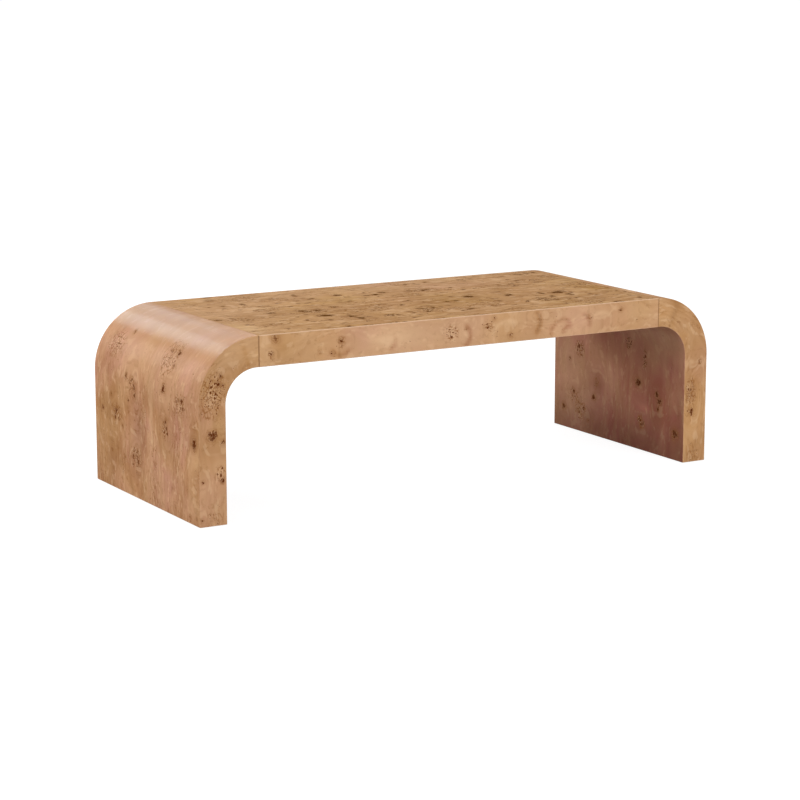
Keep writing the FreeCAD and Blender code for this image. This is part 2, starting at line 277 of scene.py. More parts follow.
TOP_FIGURE = Figure(
    seed=3, warmth=-0.38, light=0.08, sown=0.7, wildness=1.3, breadth=1.4, fineness=0.74, dashed=1.0,
    knots=[
        Knot(140, 10, 8), Knot(430, 128, 8, 1.12), Knot(515, 170, 8, 1.08), Knot(488, 168, 7, 0.98),
        Knot(262, 390, 10, 1.18), Knot(690, 308, 9.5, 1.15), Knot(915, 360, 10.5, 1.2),
        Knot(15, 332, 8, 1.03), Knot(335, 92, 7, 0.98), Knot(598, 474, 8, 1.02), Knot(587, 480, 6),
        Knot(230, 550, 8), Knot(950, 550, 7), Knot(1050, 45, 8, 1.03), Knot(350, 150, 7, 0.97),
        Knot(545, 150, 8), Knot(115, 150, 6, 0.95), Knot(80, 152, 5, 0.92), Knot(725, 50, 7, 0.97),
        Knot(662, 62, 6, 0.95), Knot(728, 160, 6, 0.98), Knot(385, 232, 7, 0.94), Knot(410, 232, 7, 0.94),
        Knot(645, 235, 6, 0.96), Knot(655, 290, 7, 0.98), Knot(603, 350, 7, 0.98), Knot(632, 352, 8),
        Knot(303, 432, 10, 1.03), Knot(308, 462, 8, 1.06), Knot(192, 430, 6, 0.95), Knot(720, 400, 6, 0.96),
        Knot(915, 400, 6, 0.92), Knot(1065, 430, 6, 0.95), Knot(790, 335, 8, 1.03), Knot(782, 345, 6),
        Knot(825, 452, 7, 1.04), Knot(852, 450, 7, 1.02), Knot(405, 465, 7, 1.02), Knot(385, 455, 6),
        Knot(492, 460, 6), Knot(530, 412, 7), Knot(238, 305, 8), Knot(275, 316, 9, 1.04),
        Knot(335, 291, 7, 1.02), Knot(617, 155, 7), Knot(655, 160, 7, 1.02), Knot(825, 405, 6, 0.92),
        Knot(845, 372, 6, 0.92),
    ],
    patches=[
        pinned(650, 163, 42, 18, 1.4), pinned(260, 318, 42, 26, 1.4), pinned(335, 290, 16, 14, 1.3),
        pinned(392, 460, 20, 16, 1.4), pinned(512, 435, 32, 40, 1.3), pinned(828, 435, 34, 28, 1.4),
        pinned(60, 350, 40, 30, 0.9), pinned(960, 150, 60, 40, 0.8), pinned(200, 70, 60, 40, 0.8),
        toned(760, 140, 140, 60, 0.6), toned(590, 40, 60, 30, 0.7), toned(520, 260, 50, 30, 0.5),
        toned(100, 230, 80, 60, 0.3, 0.08), toned(880, 300, 60, 40, 0.4), toned(400, 190, 60, 35, -0.8),
        toned(660, 320, 60, 50, -0.7, -0.05), toned(480, 70, 70, 30, -0.5, 0.05),
        toned(20, 480, 25, 80, -0.6, 0.15), toned(1050, 180, 40, 60, -0.6),
        # toned(15, 280, ...) is a painted highlight beside the left seam, where the bend's highlight spills
        # onto the top.
        toned(1040, 340, 40, 40, -0.5, -0.1), toned(15, 280, 40, 400, 0.1, 0.04),
        toned(600, 60, 400, 90, 0.4, 0.09),
    ],
)

LEFT_OUTER_FIGURE = Figure(
    seed=11, warmth=0.38, light=0.045, dashed=0.4, sown=0.5, wildness=1.5, breadth=1.3,
    knots=[
        Knot(130, 400, 7), Knot(160, 405, 6), Knot(130, 365, 5, 0.95), Knot(214, 378, 10, 0.97),
        Knot(220, 182, 8, 0.9), Knot(225, 210, 8, 0.9), Knot(240, 225, 9, 0.92), Knot(262, 225, 7, 0.94),
        Knot(275, 190, 4, 0.95), Knot(230, 475, 6), Knot(317, 537, 11), Knot(310, 122, 7), Knot(325, 113, 6),
        Knot(316, 46, 6, 0.98), Knot(275, 95, 5, 0.92), Knot(340, 155, 5, 0.9), Knot(115, 140, 6, 0.92),
        Knot(290, 388, 5, 0.96), Knot(305, 396, 5), Knot(316, 400, 4, 0.98), Knot(405, 95, 5, 0.92),
        Knot(385, 240, 4), Knot(400, 215, 5, 0.98), Knot(412, 242, 5), Knot(420, 208, 4, 0.95),
        Knot(480, 545, 6, 0.9), Knot(480, 510, 5, 0.85), Knot(475, 435, 5, 0.85),
    ],
    patches=[
        Patch(60, 280, 105, 600, calm=0.76), Patch(10, 470, 60, 160, calm=0.76),
        # toned(50, 280, ...) is painted shade across the top of the bend, under the lamps' highlight.
        toned(50, 280, 70, 600, 0.05, -0.16), toned(12, 530, 45, 50, 0.1, 0.1),
        toned(165, 370, 50, 60, 0.1, 0.09), toned(165, 190, 40, 70, 0.2, 0.07),
        toned(166, 466, 40, 50, 0.1, -0.04), toned(440, 300, 80, 300, 0.22, -0.03),
        toned(155, 250, 40, 350, 0.1, 0.05), toned(115, 470, 60, 100, 0.1, 0.02),
        # toned(57, 280, ...) is a painted highlight that fills the highlight band on the bend.
        toned(190, 110, 50, 110, 0.2), toned(57, 280, 14, 600, 0, 0.05), pinned(157, 90, 30, 36, 1.05),
        pinned(145, 372, 50, 44, 0.85), pinned(240, 465, 24, 30, 1.1), pinned(306, 388, 24, 13, 1.3),
        pinned(400, 230, 26, 24, 1.2), pinned(240, 210, 30, 22, 0.8), toned(380, 60, 160, 80, -0.25, -0.11),
        # toned(170, 80, ...) is a painted highlight: a paler, pinker wash on the bend near the rear edge.
        toned(350, 450, 160, 120, 0.1), toned(170, 80, 60, 80, 0.4, 0.02), toned(325, 312, 125, 8, 0, 0.18),
        pinned(313, 125, 20, 28), pinned(258, 438, 14, 14, 0.9), toned(325, 250, 75, 40, 0.2, -0.14),
        toned(315, 500, 35, 60, 0.2, -0.08),
    ],
)

RIGHT_INNER_FIGURE = Figure(
    seed=23, warmth=1.68, light=-0.015, dashed=0.3, sown=0.26, wildness=1.4, breadth=1.4,
    knots=[
        Knot(204, 70, 5, 0.9), Knot(249, 192, 11, 0.88), Knot(291, 180, 7, 1.05), Knot(291, 90, 6),
        Knot(336, 45, 7, 1.05), Knot(221, 368, 8, 1.05), Knot(214, 371, 5), Knot(239, 450, 7),
        Knot(256, 462, 7, 1.05), Knot(327, 525, 10, 1.05), Knot(326, 390, 8), Knot(308, 380, 5),
        Knot(276, 455, 5, 0.95), Knot(313, 110, 5, 0.9), Knot(341, 113, 5, 0.9), Knot(326, 135, 4, 0.9),
        Knot(356, 155, 4, 0.9), Knot(170, 112, 6),
    ],
    patches=[
        pinned(173, 115, 20, 18, 1.3), pinned(158, 397, 22, 8, 1.3), pinned(126, 330, 18, 12, 1.2),
        pinned(314, 384, 14, 12, 1.2), pinned(330, 120, 34, 24, 0.9), pinned(300, 90, 20, 30, 0.8),
        toned(300, 70, 120, 70, -0.5, 0.12), toned(282, 400, 7, 22, 0, 0.2),
        toned(260, 480, 150, 12, 0.3, 0.1), toned(260, 520, 150, 8, 0.2, 0.06),
        # toned(400, 280, ...) is painted shade: the leaf grows darker toward the foot.
        toned(400, 280, 95, 500, 0.9, -0.5), toned(345, 440, 90, 120, 1.0, -0.04),
        # toned(70, 280, ...) is painted light: it lightens the bend, where shade falls under the top.
        toned(70, 280, 90, 600, 1.1, 0.12), toned(252, 195, 28, 28, 0.3, -0.1),
        # toned(95, 480, ...) is painted light in the shaded front corner under the bend.
        toned(340, 220, 70, 90, -0.35), toned(95, 480, 45, 90, 0.1, 0.16),
    ],
)

FRONT_EDGE_FIGURE = Figure(
    seed=31, warmth=0.3, light=0.11, sown=0.38, wildness=1.6,
    knots=[
        Knot(40, 10, 8, 0.95), Knot(205, 32, 6, 0.95), Knot(180, 57, 5, 0.88), Knot(150, 50, 5, 0.88),
        Knot(30, 45, 5, 0.88), Knot(530, 32, 4, 0.9), Knot(605, 12, 5, 0.9), Knot(650, 55, 6, 0.88),
        Knot(592, 28, 6, 0.84), Knot(870, 28, 9, 0.78), Knot(800, 55, 18, 0.6), Knot(727, 30, 12, 0.6),
        Knot(960, 22, 5, 0.85),
    ],
    patches=[
        pinned(492, 34, 16, 18, 1.15), pinned(183, 58, 8, 8), pinned(30, 45, 8, 12, 0.95),
        pinned(205, 32, 12, 10, 0.9), pinned(590, 32, 16, 14, 0.85), toned(15, 35, 15, 40, -0.3, 0.15),
        toned(65, 35, 35, 40, -0.4, -0.05), toned(365, 35, 95, 40, 0.4, 0.24),
        toned(540, 35, 60, 40, 0.25, 0.12), toned(640, 35, 40, 40, -0.4, 0.02),
        toned(815, 35, 115, 40, 0.1, 0.1), toned(322, 38, 24, 9, 0, 0.2), toned(800, 58, 26, 16, 0.1, 0.14),
        *curl(795, 62, 33, 180, 310, -0.17), *curl(812, 62, 16, 185, 290, -0.16),
        *curl(700, 30, 32, -45, 50, -0.18), *curl(850, 44, 22, -90, 15, -0.17),
        *curl(322, 38, 22, -30, 80, -0.15), *curl(205, 36, 26, 40, 150, -0.12),
        *curl(640, 60, 40, 200, 300, 0.1), *curl(905, 70, 48, 230, 300, 0.1),
        *curl(515, 44, 26, -60, 60, -0.15),
    ],
)

LEFT_FRONT_EDGE_FIGURE = Figure(
    seed=41, warmth=0.3, light=0.05,
    knots=[
        Knot(140, 37, 6), Knot(165, 40, 6), Knot(160, 50, 5), Knot(293, 36, 9, 1.1), Knot(310, 58, 6, 0.88),
        Knot(395, 8, 4, 0.95), Knot(480, 7, 4, 0.95), Knot(394, 60, 5, 1.05),
    ],
    patches=[
        pinned(198, 33, 60, 34, 1.1), pinned(383, 56, 15, 9, 1.3), toned(278, 52, 22, 10, -0.8, 0.05),
        toned(20, 35, 26, 60, -0.3, 0.08), toned(42, 35, 6, 60, 0.1, -0.12),
        # toned(75, 15, ...) is a painted highlight on the bend, beside the outer arris.
        toned(430, 33, 60, 50, 0.3, 0.05), toned(75, 15, 50, 22, 0.1, 0.18), toned(110, 35, 90, 60, -0.3),
    ],
)

RIGHT_FRONT_EDGE_FIGURE = Figure(
    seed=43, warmth=0.05, light=0.01,
    knots=[
        Knot(370, 47, 8, 0.96), Knot(250, 25, 8, 0.82), Knot(325, 50, 9, 0.86), Knot(300, 45, 5, 0.88),
    ],
    patches=[
        pinned(322, 48, 32, 15, 1.1), toned(100, 30, 100, 60, 0.2, 0.03), toned(60, 35, 8, 40, 0.1, -0.15),
        toned(270, 30, 120, 50, 0.1, 0.04), toned(320, 48, 30, 14, 0.2, -0.15),
    ],
)


# ---- shapes of the leaves


class Named(Enum):
    """A choice whose name is a word in its nodes' names."""

    @property
    def word(self) -> str:
        """Its name in small letters."""
        return self.name.lower()


class Side(Named):
    """An end of the table, and the sign of its X."""

    LEFT = -1
    RIGHT = 1


class Edge(Named):
    """A long edge of the table, and the way that it faces along Y."""

    FRONT = -1
    REAR = 1


class Face(Named):
    """A face of a bent end: 1 if it looks away from the bend's centre, or -1."""

    OUTER = 1
    INNER = -1


FACE_SEAM = 0.05  # darkness of the line beside a seam on the faces, 0 to 1
TOP_RIGHT_SEAM = 0.3  # on the top at its right seam
EDGE_SEAMS = {Side.LEFT: 1.0, Side.RIGHT: 0.6}  # on the edges
REAR_SEEDS = {Side.LEFT: 81, Side.RIGHT: 83}  # figures of the ends' rear edges
CENTRE_REAR_SEED = 71
UNSEEN_SEEDS = (61, 67)  # figures of the left inner and the right outer leaf
UNSEEN_RUN = 495.0  # mm along those leaves over which their eyes are strewn


@dataclass(frozen=True)
class BendLine:
    """A face's line in the X and Z of the right end: a short flat, a quarter bend and a straight leg."""

    seam: float
    centre_x: float
    centre_z: float
    radius: float

    @property
    def flat(self) -> float:
        """Length of the flat between the seam and the bend."""
        return self.centre_x - self.seam

    @property
    def turned(self) -> float:
        """Length from the seam to the end of the bend."""
        return self.flat + self.radius * math.pi / 2

    def length_to(self, foot: float) -> float:
        """Length from the seam to a foot at that height."""
        return self.turned + self.centre_z - foot

    def place(self, run: Points) -> tuple[Points, ...]:
        """Points on the line and its outward normals.

        Args:
            run: lengths from the seam, in metres.

        Returns:
            X and Z of the points, then X and Z of the normals.
        """
        angle = np.clip((run - self.flat) / self.radius, 0, math.pi / 2)
        normal_x, normal_z = np.sin(angle), np.cos(angle)
        level = np.minimum(run - self.flat, 0)
        fall = np.maximum(run - self.turned, 0)
        return (self.centre_x + self.radius * normal_x + level, self.centre_z + self.radius * normal_z - fall,
                normal_x, normal_z)


@dataclass
class Leaf:
    """A veneer leaf, cut flat in X (along the grain) and Y (across it), show face up, then laid on the core.

    Its first, last and long borders lie by start, end and lap inside the face that it covers.
    """

    name: str
    length: float
    width: float
    thickness: float
    figure: Figure
    start: float
    end: float
    lap: float
    first_seam: float = 0.0
    last_seam: float = 0.0
    # rubbed: how pale the arris line is painted, partly wear and partly a painted highlight
    rubbed: float = 0.08

    def cut(self) -> bmesh.types.BMesh:
        """Cuts the flat leaf with its eased arrises and gives it its thickness.

        Returns:
            The closed flat leaf.
        """
        first, last = self.start, self.length - self.end
        leaf = bmesh.new()
        columns, rows = round(self.length / GRID_PITCH), max(1, round(self.width / GRID_PITCH))
        bmesh.ops.create_grid(leaf, x_segments=columns, y_segments=rows, size=0.5)
        bmesh.ops.scale(leaf, vec=(self.length, self.width, 1), verts=leaf.verts)
        bmesh.ops.translate(leaf, vec=(self.length / 2, self.width / 2, 0), verts=leaf.verts)
        for turn in EASE_TURNS:
            for line in (turn * EASE_RADIUS, self.width - turn * EASE_RADIUS):
                self.slice(leaf, (0, line, 0), (0, 1, 0))
        for line in (first + SEAM_LINE_REACH / 2, first + SEAM_LINE_REACH, last - SEAM_LINE_REACH, last - SEAM_LINE_REACH / 2):
            self.slice(leaf, (line, 0, 0), (1, 0, 0))
        self.slice(leaf, (first, 0, 0), (-1, 0, 0), waste=True)
        self.slice(leaf, (last, 0, 0), (1, 0, 0), waste=True)
        self.slice(leaf, (0, self.lap, 0), (0, -1, 0), waste=True)
        self.slice(leaf, (0, self.width - self.lap, 0), (0, 1, 0), waste=True)
        show = list(leaf.faces)
        backed = bmesh.ops.extrude_face_region(leaf, geom=show)["geom"]
        backs = {part for part in backed if isinstance(part, bmesh.types.BMVert)}
        for vert in leaf.verts:
            drop = self.thickness if vert in backs else self.drop(min(vert.co.y, self.width - vert.co.y))
            vert.co.z = -drop
        bmesh.ops.recalc_face_normals(leaf, faces=leaf.faces)
        return leaf

    @staticmethod
    def drop(inset: float) -> float:
        """Depth of the rounded arris below the face, at a distance from the arris."""
        return EASE_RADIUS - math.sqrt(max(0.0, EASE_RADIUS**2 - max(0.0, EASE_RADIUS - inset) ** 2))

    @staticmethod
    def slice(leaf: bmesh.types.BMesh, point: Place, normal: Place, waste: bool = False) -> None:
        """Cuts the flat leaf along a line.

        Args:
            leaf: the flat leaf.
            point: a point on the line.
            normal: direction across the line.
            waste: whether what lies beyond the line goes.
        """
        geometry = leaf.verts[:] + leaf.edges[:] + leaf.faces[:]
        bmesh.ops.bisect_plane(leaf, geom=geometry, dist=TRIM_REACH if waste else SCORE_REACH, plane_co=point,
                               plane_no=normal, clear_outer=waste)

    def laid(self, lay: Callable[[Points, Points, Points], tuple[Points, ...]]) -> Piece:
        """Makes the leaf's object.

        Args:
            lay: function from flat places (along, across, height above the face) to the table's X, Y and Z.

        Returns:
            The object, linked to the scene.
        """
        leaf = self.cut()
        sheet = leaf.loops.layers.uv.new(LEAF_MAP)
        for face in leaf.faces:
            for loop in face.loops:
                loop[sheet].uv = loop.vert.co.xy * self.figure.fineness
        mesh = bpy.data.meshes.new(self.name)
        leaf.to_mesh(mesh)
        leaf.free()
        flat = np.empty(len(mesh.vertices) * 3)
        mesh.vertices.foreach_get("co", flat)
        along, across, height = flat.reshape(-1, 3).T
        self.write_fields(mesh, along, across)
        placed = np.stack(lay(along, across, height), axis=1)
        mesh.vertices.foreach_set("co", placed.astype(np.float32).ravel())
        mesh.update()
        self.turn_outwards(mesh)
        piece = bpy.data.objects.new(self.name, mesh)
        bpy.context.scene.collection.objects.link(piece)
        return piece

    def write_fields(self, mesh: bpy.types.Mesh, along: Points, across: Points) -> None:
        """Writes the leaf's figure onto its mesh, for the finish to read.

        Args:
            mesh: the leaf's mesh.
            along: each point's place along the grain.
            across: each point's place across it.
        """
        figure = self.figure
        pins, warmth, light, calm = figure.patch_sums(along, across)
        # A darker line is painted beside each seam, fading with distance from it.
        first = self.first_seam * np.clip(1 - (along - self.start) / SEAM_LINE_REACH, 0, 1)
        last = self.last_seam * np.clip(1 - (self.length - self.end - along) / SEAM_LINE_REACH, 0, 1)
        # The pale line along an eased arris is partly wear and partly a painted highlight.
        inset = np.minimum(across, self.width - across)
        arris = self.rubbed * np.clip(RUB_AND_HIGHLIGHT_REACH - inset / EASE_RADIUS, 0, 1)
        offset, dashed = np.full_like(along, figure.seed), np.full_like(along, figure.dashed)
        fields = {
            GRAIN_FIELD: (along * figure.wildness, figure.flow(along, across) / figure.breadth, offset),
            FIGURE_FIELD: (figure.knot_nearness(along, across), pins, figure.sown * (1 - calm)),
            TONE_FIELD: (warmth + figure.warmth, light + figure.light, arris - first - last),
            DASH_FIELD: (dashed, calm, offset),
        }
        for name, values in fields.items():
            attribute = mesh.attributes.new(name, "FLOAT_VECTOR", "POINT")
            attribute.data.foreach_set("vector", np.stack(values, axis=1).astype(np.float32).ravel())

    @staticmethod
    def turn_outwards(mesh: bpy.types.Mesh) -> None:
        """Points a closed mesh's faces outwards and shades it smooth between its sharp edges.

        Args:
            mesh: the mesh.
        """
        shell = bmesh.new()
        shell.from_mesh(mesh)
        bmesh.ops.recalc_face_normals(shell, faces=shell.faces)
        shell.to_mesh(mesh)
        shell.free()
        mesh.shade_smooth()
        mesh.set_sharp_from_angle(angle=SHARP_ANGLE)


# ---- finishes


FLOAT, VECTOR = "NodeSocketFloat", "NodeSocketVector"


@dataclass(frozen=True)
class Value:
    """An output in a node tree. Its sums, differences and products are outputs of Math nodes."""

    graph: "Graph"
    socket: Socket

    def __add__(self, other: object) -> "Value":
        """The sum with another value."""
        return self.graph.math("ADD", self, other)

    def __sub__(self, other: object) -> "Value":
        """What is left when another value is taken away."""
        return self.graph.math("SUBTRACT", self, other)

    def __rsub__(self, other: float) -> "Value":
        """What is left of a number when this value is taken away."""
        return self.graph.math("SUBTRACT", other, self)

    def __mul__(self, other: object) -> "Value":
        """The product with another value."""
        return self.graph.math("MULTIPLY", self, other)


class Graph:
    """A node tree, with short calls for the nodes that the finishes share."""

    def __init__(self, tree: bpy.types.NodeTree) -> None:
        """Takes a tree and empties it."""
        self.tree = tree
        tree.nodes.clear()

    def add(self, kind: str, *values: object, **settings: object) -> Node:
        """Adds a node.

        Args:
            kind: what follows ShaderNode in its type, or a whole type name.
            values: an output or a value for each input in turn, or None for one that stays as it is.
            settings: the node's own properties.

        Returns:
            The node.
        """
        node = self.tree.nodes.new(kind if kind.startswith("Node") else "ShaderNode" + kind)
        for name, value in settings.items():
            setattr(node, name, value)
        for socket, value in zip(node.inputs, values):
            self.feed(socket, value)
        return node

    def feed(self, socket: Socket, value: object) -> None:
        """Links an output to a socket, or sets the socket's own value.

        Args:
            socket: the socket.
            value: an output, a value, or None where the socket stays as it is.
        """
        source = value.socket if isinstance(value, Value) else value
        if isinstance(source, Socket):
            self.tree.links.new(source, socket)
        elif source is not None:
            socket.default_value = source

    def give(self, node: Node, **values: object) -> Node:
        """Feeds a node's inputs by name.

        Args:
            node: the node.
            values: an output or a value for each input, with _ for a space in its name.

        Returns:
            The node.
        """
        for name, value in values.items():
            self.feed(node.inputs[name.replace("_", " ")], value)
        return node

    def value(self, kind: str, *values: object, end: int | str = 0, **settings: object) -> Value:
        """An output, by its place or name, of a node that is added."""
        return Value(self, self.add(kind, *values, **settings).outputs[end])

    def math(self, operation: str, *values: object, clamp: bool = False) -> Value:
        """The result of an operation on one or two values, kept between 0 and 1 if it is clamped."""
        return self.value("Math", *values, operation=operation, use_clamp=clamp)

    def most(self, first: object, second: object) -> Value:
        """The larger of two values."""
        return self.math("MAXIMUM", first, second)

    def rise(self, value: object, low: float, high: float, bottom: float = 0.0, top: float = 1.0) -> Value:
        """A smooth step from bottom to top, while a value goes from low to high."""
        return self.value("MapRange", value, low, high, bottom, top, interpolation_type="SMOOTHSTEP")

    def blend(self, share: object, first: object, second: object, kind: str = "MIX") -> Value:
        """Two colours mixed, with a share of the second."""
        values = (share, *[None] * 5, first, second)
        return self.value("Mix", *values, end=2, data_type="RGBA", blend_type=kind, clamp_factor=True)

    def layered(self, ground: object, *layers: tuple[object, object]) -> object:
        """Lays colours over a ground, one after another.

        Args:
            ground: the lowest colour.
            layers: how much of each colour shows, and the colour.

        Returns:
            The colour on top.
        """
        for share, colour in layers:
            ground = self.blend(share, ground, colour)
        return ground

    def grey(self, value: object) -> Value:
        """A grey colour of a value."""
        return self.value("CombineColor", value, value, value)

    def stretched(self, vector: object, scales: Place) -> Value:
        """A vector with each part scaled by its own number."""
        return self.value("VectorMath", vector, scales, operation="MULTIPLY")

    def joined(self, x: object, y: object, z: object) -> Value:
        """A vector from three values."""
        return self.value("CombineXYZ", x, y, z)

    def parts(self, vector: object) -> tuple[Value, ...]:
        """The three values of a vector."""
        return tuple(Value(self, end) for end in self.add("SeparateXYZ", vector).outputs)

    def object_place(self) -> Value:
        """The place on the object, in metres."""
        return self.value("TexCoord", end="Object")

    def noise(self, vector: object, scale: float | Place, detail: float = 2.0, roughness: float = 0.5,
              distortion: float = 0.0) -> Value:
        """A noise value around 0.5.

        Args:
            vector: where it is read.
            scale: cells in a metre, or cells in a metre of each part.
            detail: octaves.
            roughness: weight of the fine octaves.
            distortion: how much it swirls.

        Returns:
            The value.
        """
        if isinstance(scale, tuple):
            vector, scale = self.stretched(vector, scale), 1.0
        node = self.add("TexNoise", noise_dimensions="3D")
        self.give(node, Vector=vector, Scale=scale, Detail=detail, Roughness=roughness, Distortion=distortion)
        return Value(self, node.outputs["Fac"])

    def cells(self, vector: object, scale: float) -> tuple[Value, Value]:
        """Cells scattered over the first two parts of a vector.

        Args:
            vector: where they are read.
            scale: cells in a metre.

        Returns:
            Distance to the nearest centre in cells, and a random value of that cell.
        """
        node = self.add("TexVoronoi", voronoi_dimensions="2D", feature="F1")
        self.give(node, Vector=vector, Scale=scale)
        return Value(self, node.outputs["Distance"]), self.value("SeparateColor", node.outputs["Color"])

    def effect(self, kind: "type[Effect]", **inputs: object) -> dict[str, Value]:
        """Places a node group.

        Args:
            kind: the effect.
            inputs: values or links by input name.

        Returns:
            Its outputs by name.
        """
        node = self.give(self.add("Group", node_tree=kind.group()), **inputs)
        return {socket.name: Value(self, socket) for socket in node.outputs}


class Effect:
    """A node group that finishes share: its inputs with their kinds, and its outputs, which are values."""

    name = "effect"
    takes: dict[str, str] = {}
    gives: tuple[str, ...] = ()

    @classmethod
    def group(cls) -> bpy.types.NodeTree:
        """The group, built the first time that it is asked for.

        Returns:
            The node group.
        """
        made = bpy.data.node_groups.get(cls.name)
        if made:
            return made
        made = bpy.data.node_groups.new(cls.name, "ShaderNodeTree")
        for name, kind in cls.takes.items():
            made.interface.new_socket(name=name, in_out="INPUT", socket_type=kind)
        for name in cls.gives:
            made.interface.new_socket(name=name, in_out="OUTPUT", socket_type=FLOAT)
        graph = Graph(made)
        ends = graph.add("NodeGroupInput").outputs
        inputs = {socket.name: Value(graph, socket) for socket in ends if socket.name}
        graph.give(graph.add("NodeGroupOutput"), **cls.build(graph, inputs))
        return made

    @classmethod
    def build(cls, graph: Graph, inputs: dict[str, Value]) -> dict[str, Value]:
        """Adds the group's nodes between its inputs and its outputs."""
        raise NotImplementedError


class GrainLines(Effect):
    """Long grain: fine lines, broad bands, mottle, short flecks, pale wisps, curls, dashes and streaks."""

    name = "grain_lines"
    takes = {"Grain": VECTOR, "Wander": FLOAT, "Swirl": FLOAT}
    gives = ("Lines", "Bands", "Clouds", "Flecks", "Wisps", "Curls", "Dashes", "Streaks")
    sways, quivers, eddies = (5, 9, 1), (24, 34, 1), (15, 21, 1)  # in a metre: what bends the grain
    quiver_share = 0.22
    curl_wave = 620.0  # radians of the curls in a metre across the grain
    # Cells in a metre, octaves, weight of the fine octaves, and the levels between which the mask rises.
    masks = {
        "Lines": ((20, 300, 1), 3.0, 0.6, 0.3, 0.72),
        "Bands": ((8, 42, 1), 3.0, 0.55, 0.3, 0.7),
        "Clouds": ((6, 15, 1), 2.0, 0.5, 0.3, 0.7),
        "Flecks": ((48, 125, 1), 2.0, 0.6, 0.55, 0.68),
        "Wisps": ((26, 85, 1), 2.0, 0.5, 0.55, 0.66),
        "Dashes": ((21, 88, 1), 4.0, 0.66, 0.575, 0.64),
        "Streaks": ((11, 84, 1), 2.0, 0.5, 0.42, 0.64),
    }

    @classmethod
    def build(cls, graph: Graph, inputs: dict[str, Value]) -> dict[str, Value]:
        """Adds the nodes of the grain.

        Args:
            graph: the group's tree.
            inputs: Grain (metres along, metres across, offset), Wander in metres, and Swirl in turns.

        Returns:
            Each of its masks, about 0 to 1.
        """
        grain = inputs["Grain"]
        along, across, offset = graph.parts(grain)
        slow, quick = graph.noise(grain, cls.sways, 2.0), graph.noise(grain, cls.quivers, 1.0)
        sway = slow - 0.5 + (quick - 0.5) * cls.quiver_share
        bent = across + sway * inputs["Wander"]
        run = graph.joined(along, bent, offset)
        masks = {name: graph.rise(graph.noise(run, cells, octaves, weight), low, high)
                 for name, (cells, octaves, weight, low, high) in cls.masks.items()}
        eddy = graph.noise(grain, cls.eddies, 1.0)
        turns = eddy * inputs["Swirl"] * (2 * math.pi)
        curls = graph.math("SINE", bent * cls.curl_wave + turns)
        return masks | {"Curls": graph.rise(curls, -0.8, 1.0)}


class BurlEyes(Effect):
    """Crisp eyes with ringed halos, and pin knots, out of smooth fields."""

    name = "burl_eyes"
    takes = {"Place": VECTOR, "Nearness": FLOAT, "Pins": FLOAT}
    gives = ("Eye", "Halo", "Rings", "Pin", "Rim", "Whorl")
    pin_sizes = {98.0: 0.42, 165.0: 0.44, 285.0: 0.36}  # pin knots in a metre, and their reach in cells
    rags, lobes = (110, 190, 1), (42, 75, 1)  # in a metre: what breaks the outlines
    gaps, strokes = (70, 90, 1), (190, 420, 1)  # in a metre: what breaks the whorls and the eyes
    ring_wave = 48.0  # radians of a halo's rings while the nearness goes from 0 to 1
    whorls = 105.0  # broken whorls in a metre
    oval = (0.75, 1.2, 1)  # how far pin knots and whorls are stretched along the grain

    @classmethod
    def build(cls, graph: Graph, inputs: dict[str, Value]) -> dict[str, Value]:
        """Adds the nodes of the eyes.

        Args:
            graph: the group's tree.
            inputs: Place in metres, Nearness of an eye and density of Pins, 0 to 1.

        Returns:
            Masks of the eyes, their halos, the rings in the halos, the pin knots, the pale rims round them
            and the broken whorls between them.
        """
        place = inputs["Place"]
        ragged = graph.noise(place, cls.rags, 3.0, 0.7, 0.5) - 0.5
        lobed = graph.noise(place, cls.lobes, 1.0) - 0.5
        soft = inputs["Nearness"] + lobed * 0.3
        near = soft + ragged * 0.5
        halo = graph.rise(soft + ragged * 0.2, 0.36, 0.85)
        wave = graph.math("SINE", (soft + ragged * 0.1) * cls.ring_wave)
        crowd = graph.most(inputs["Pins"], graph.rise(near, 0.5, 0.95, 0.0, 1.5))
        spread = crowd + lobed * 0.9
        oval = graph.stretched(place, cls.oval)
        pin = rim = 0.0
        for scale, size in cls.pin_sizes.items():
            distance, chance = graph.cells(oval, scale)
            distance = distance - ragged * 0.7
            reach = (spread - chance * 1.25) * size
            pin = graph.most(pin, graph.math("MULTIPLY", reach - distance, 6.0, clamp=True))
            ring = reach * 1.8 - distance
            rim = graph.most(rim, graph.math("MULTIPLY", ring, 5.0, clamp=True))
        x, y, z = graph.parts(oval)
        x, y = x + lobed * 0.012, y + ragged * 0.009
        border = graph.add("TexVoronoi", voronoi_dimensions="2D", feature="DISTANCE_TO_EDGE")
        graph.give(border, Vector=graph.joined(x, y, z), Scale=cls.whorls)
        broken = graph.rise(graph.noise(place, cls.gaps, 1.0), 0.38, 0.55)
        whorl = graph.rise(border.outputs["Distance"], 0.2, 0.03) * broken
        strokes = graph.rise(graph.noise(place, cls.strokes, 2.0, 0.6), 0.3, 0.55, 0.25, 1.0)
        return {
            "Eye": graph.rise(near, 0.76, 0.88) * strokes,
            "Halo": halo,
            "Rings": graph.rise(wave, -0.6, 1.0) * halo,
            "Pin": pin,
            "Rim": graph.math("SUBTRACT", rim, pin, clamp=True),
            "Whorl": whorl * graph.rise(spread, 0.3, 0.75),
        }


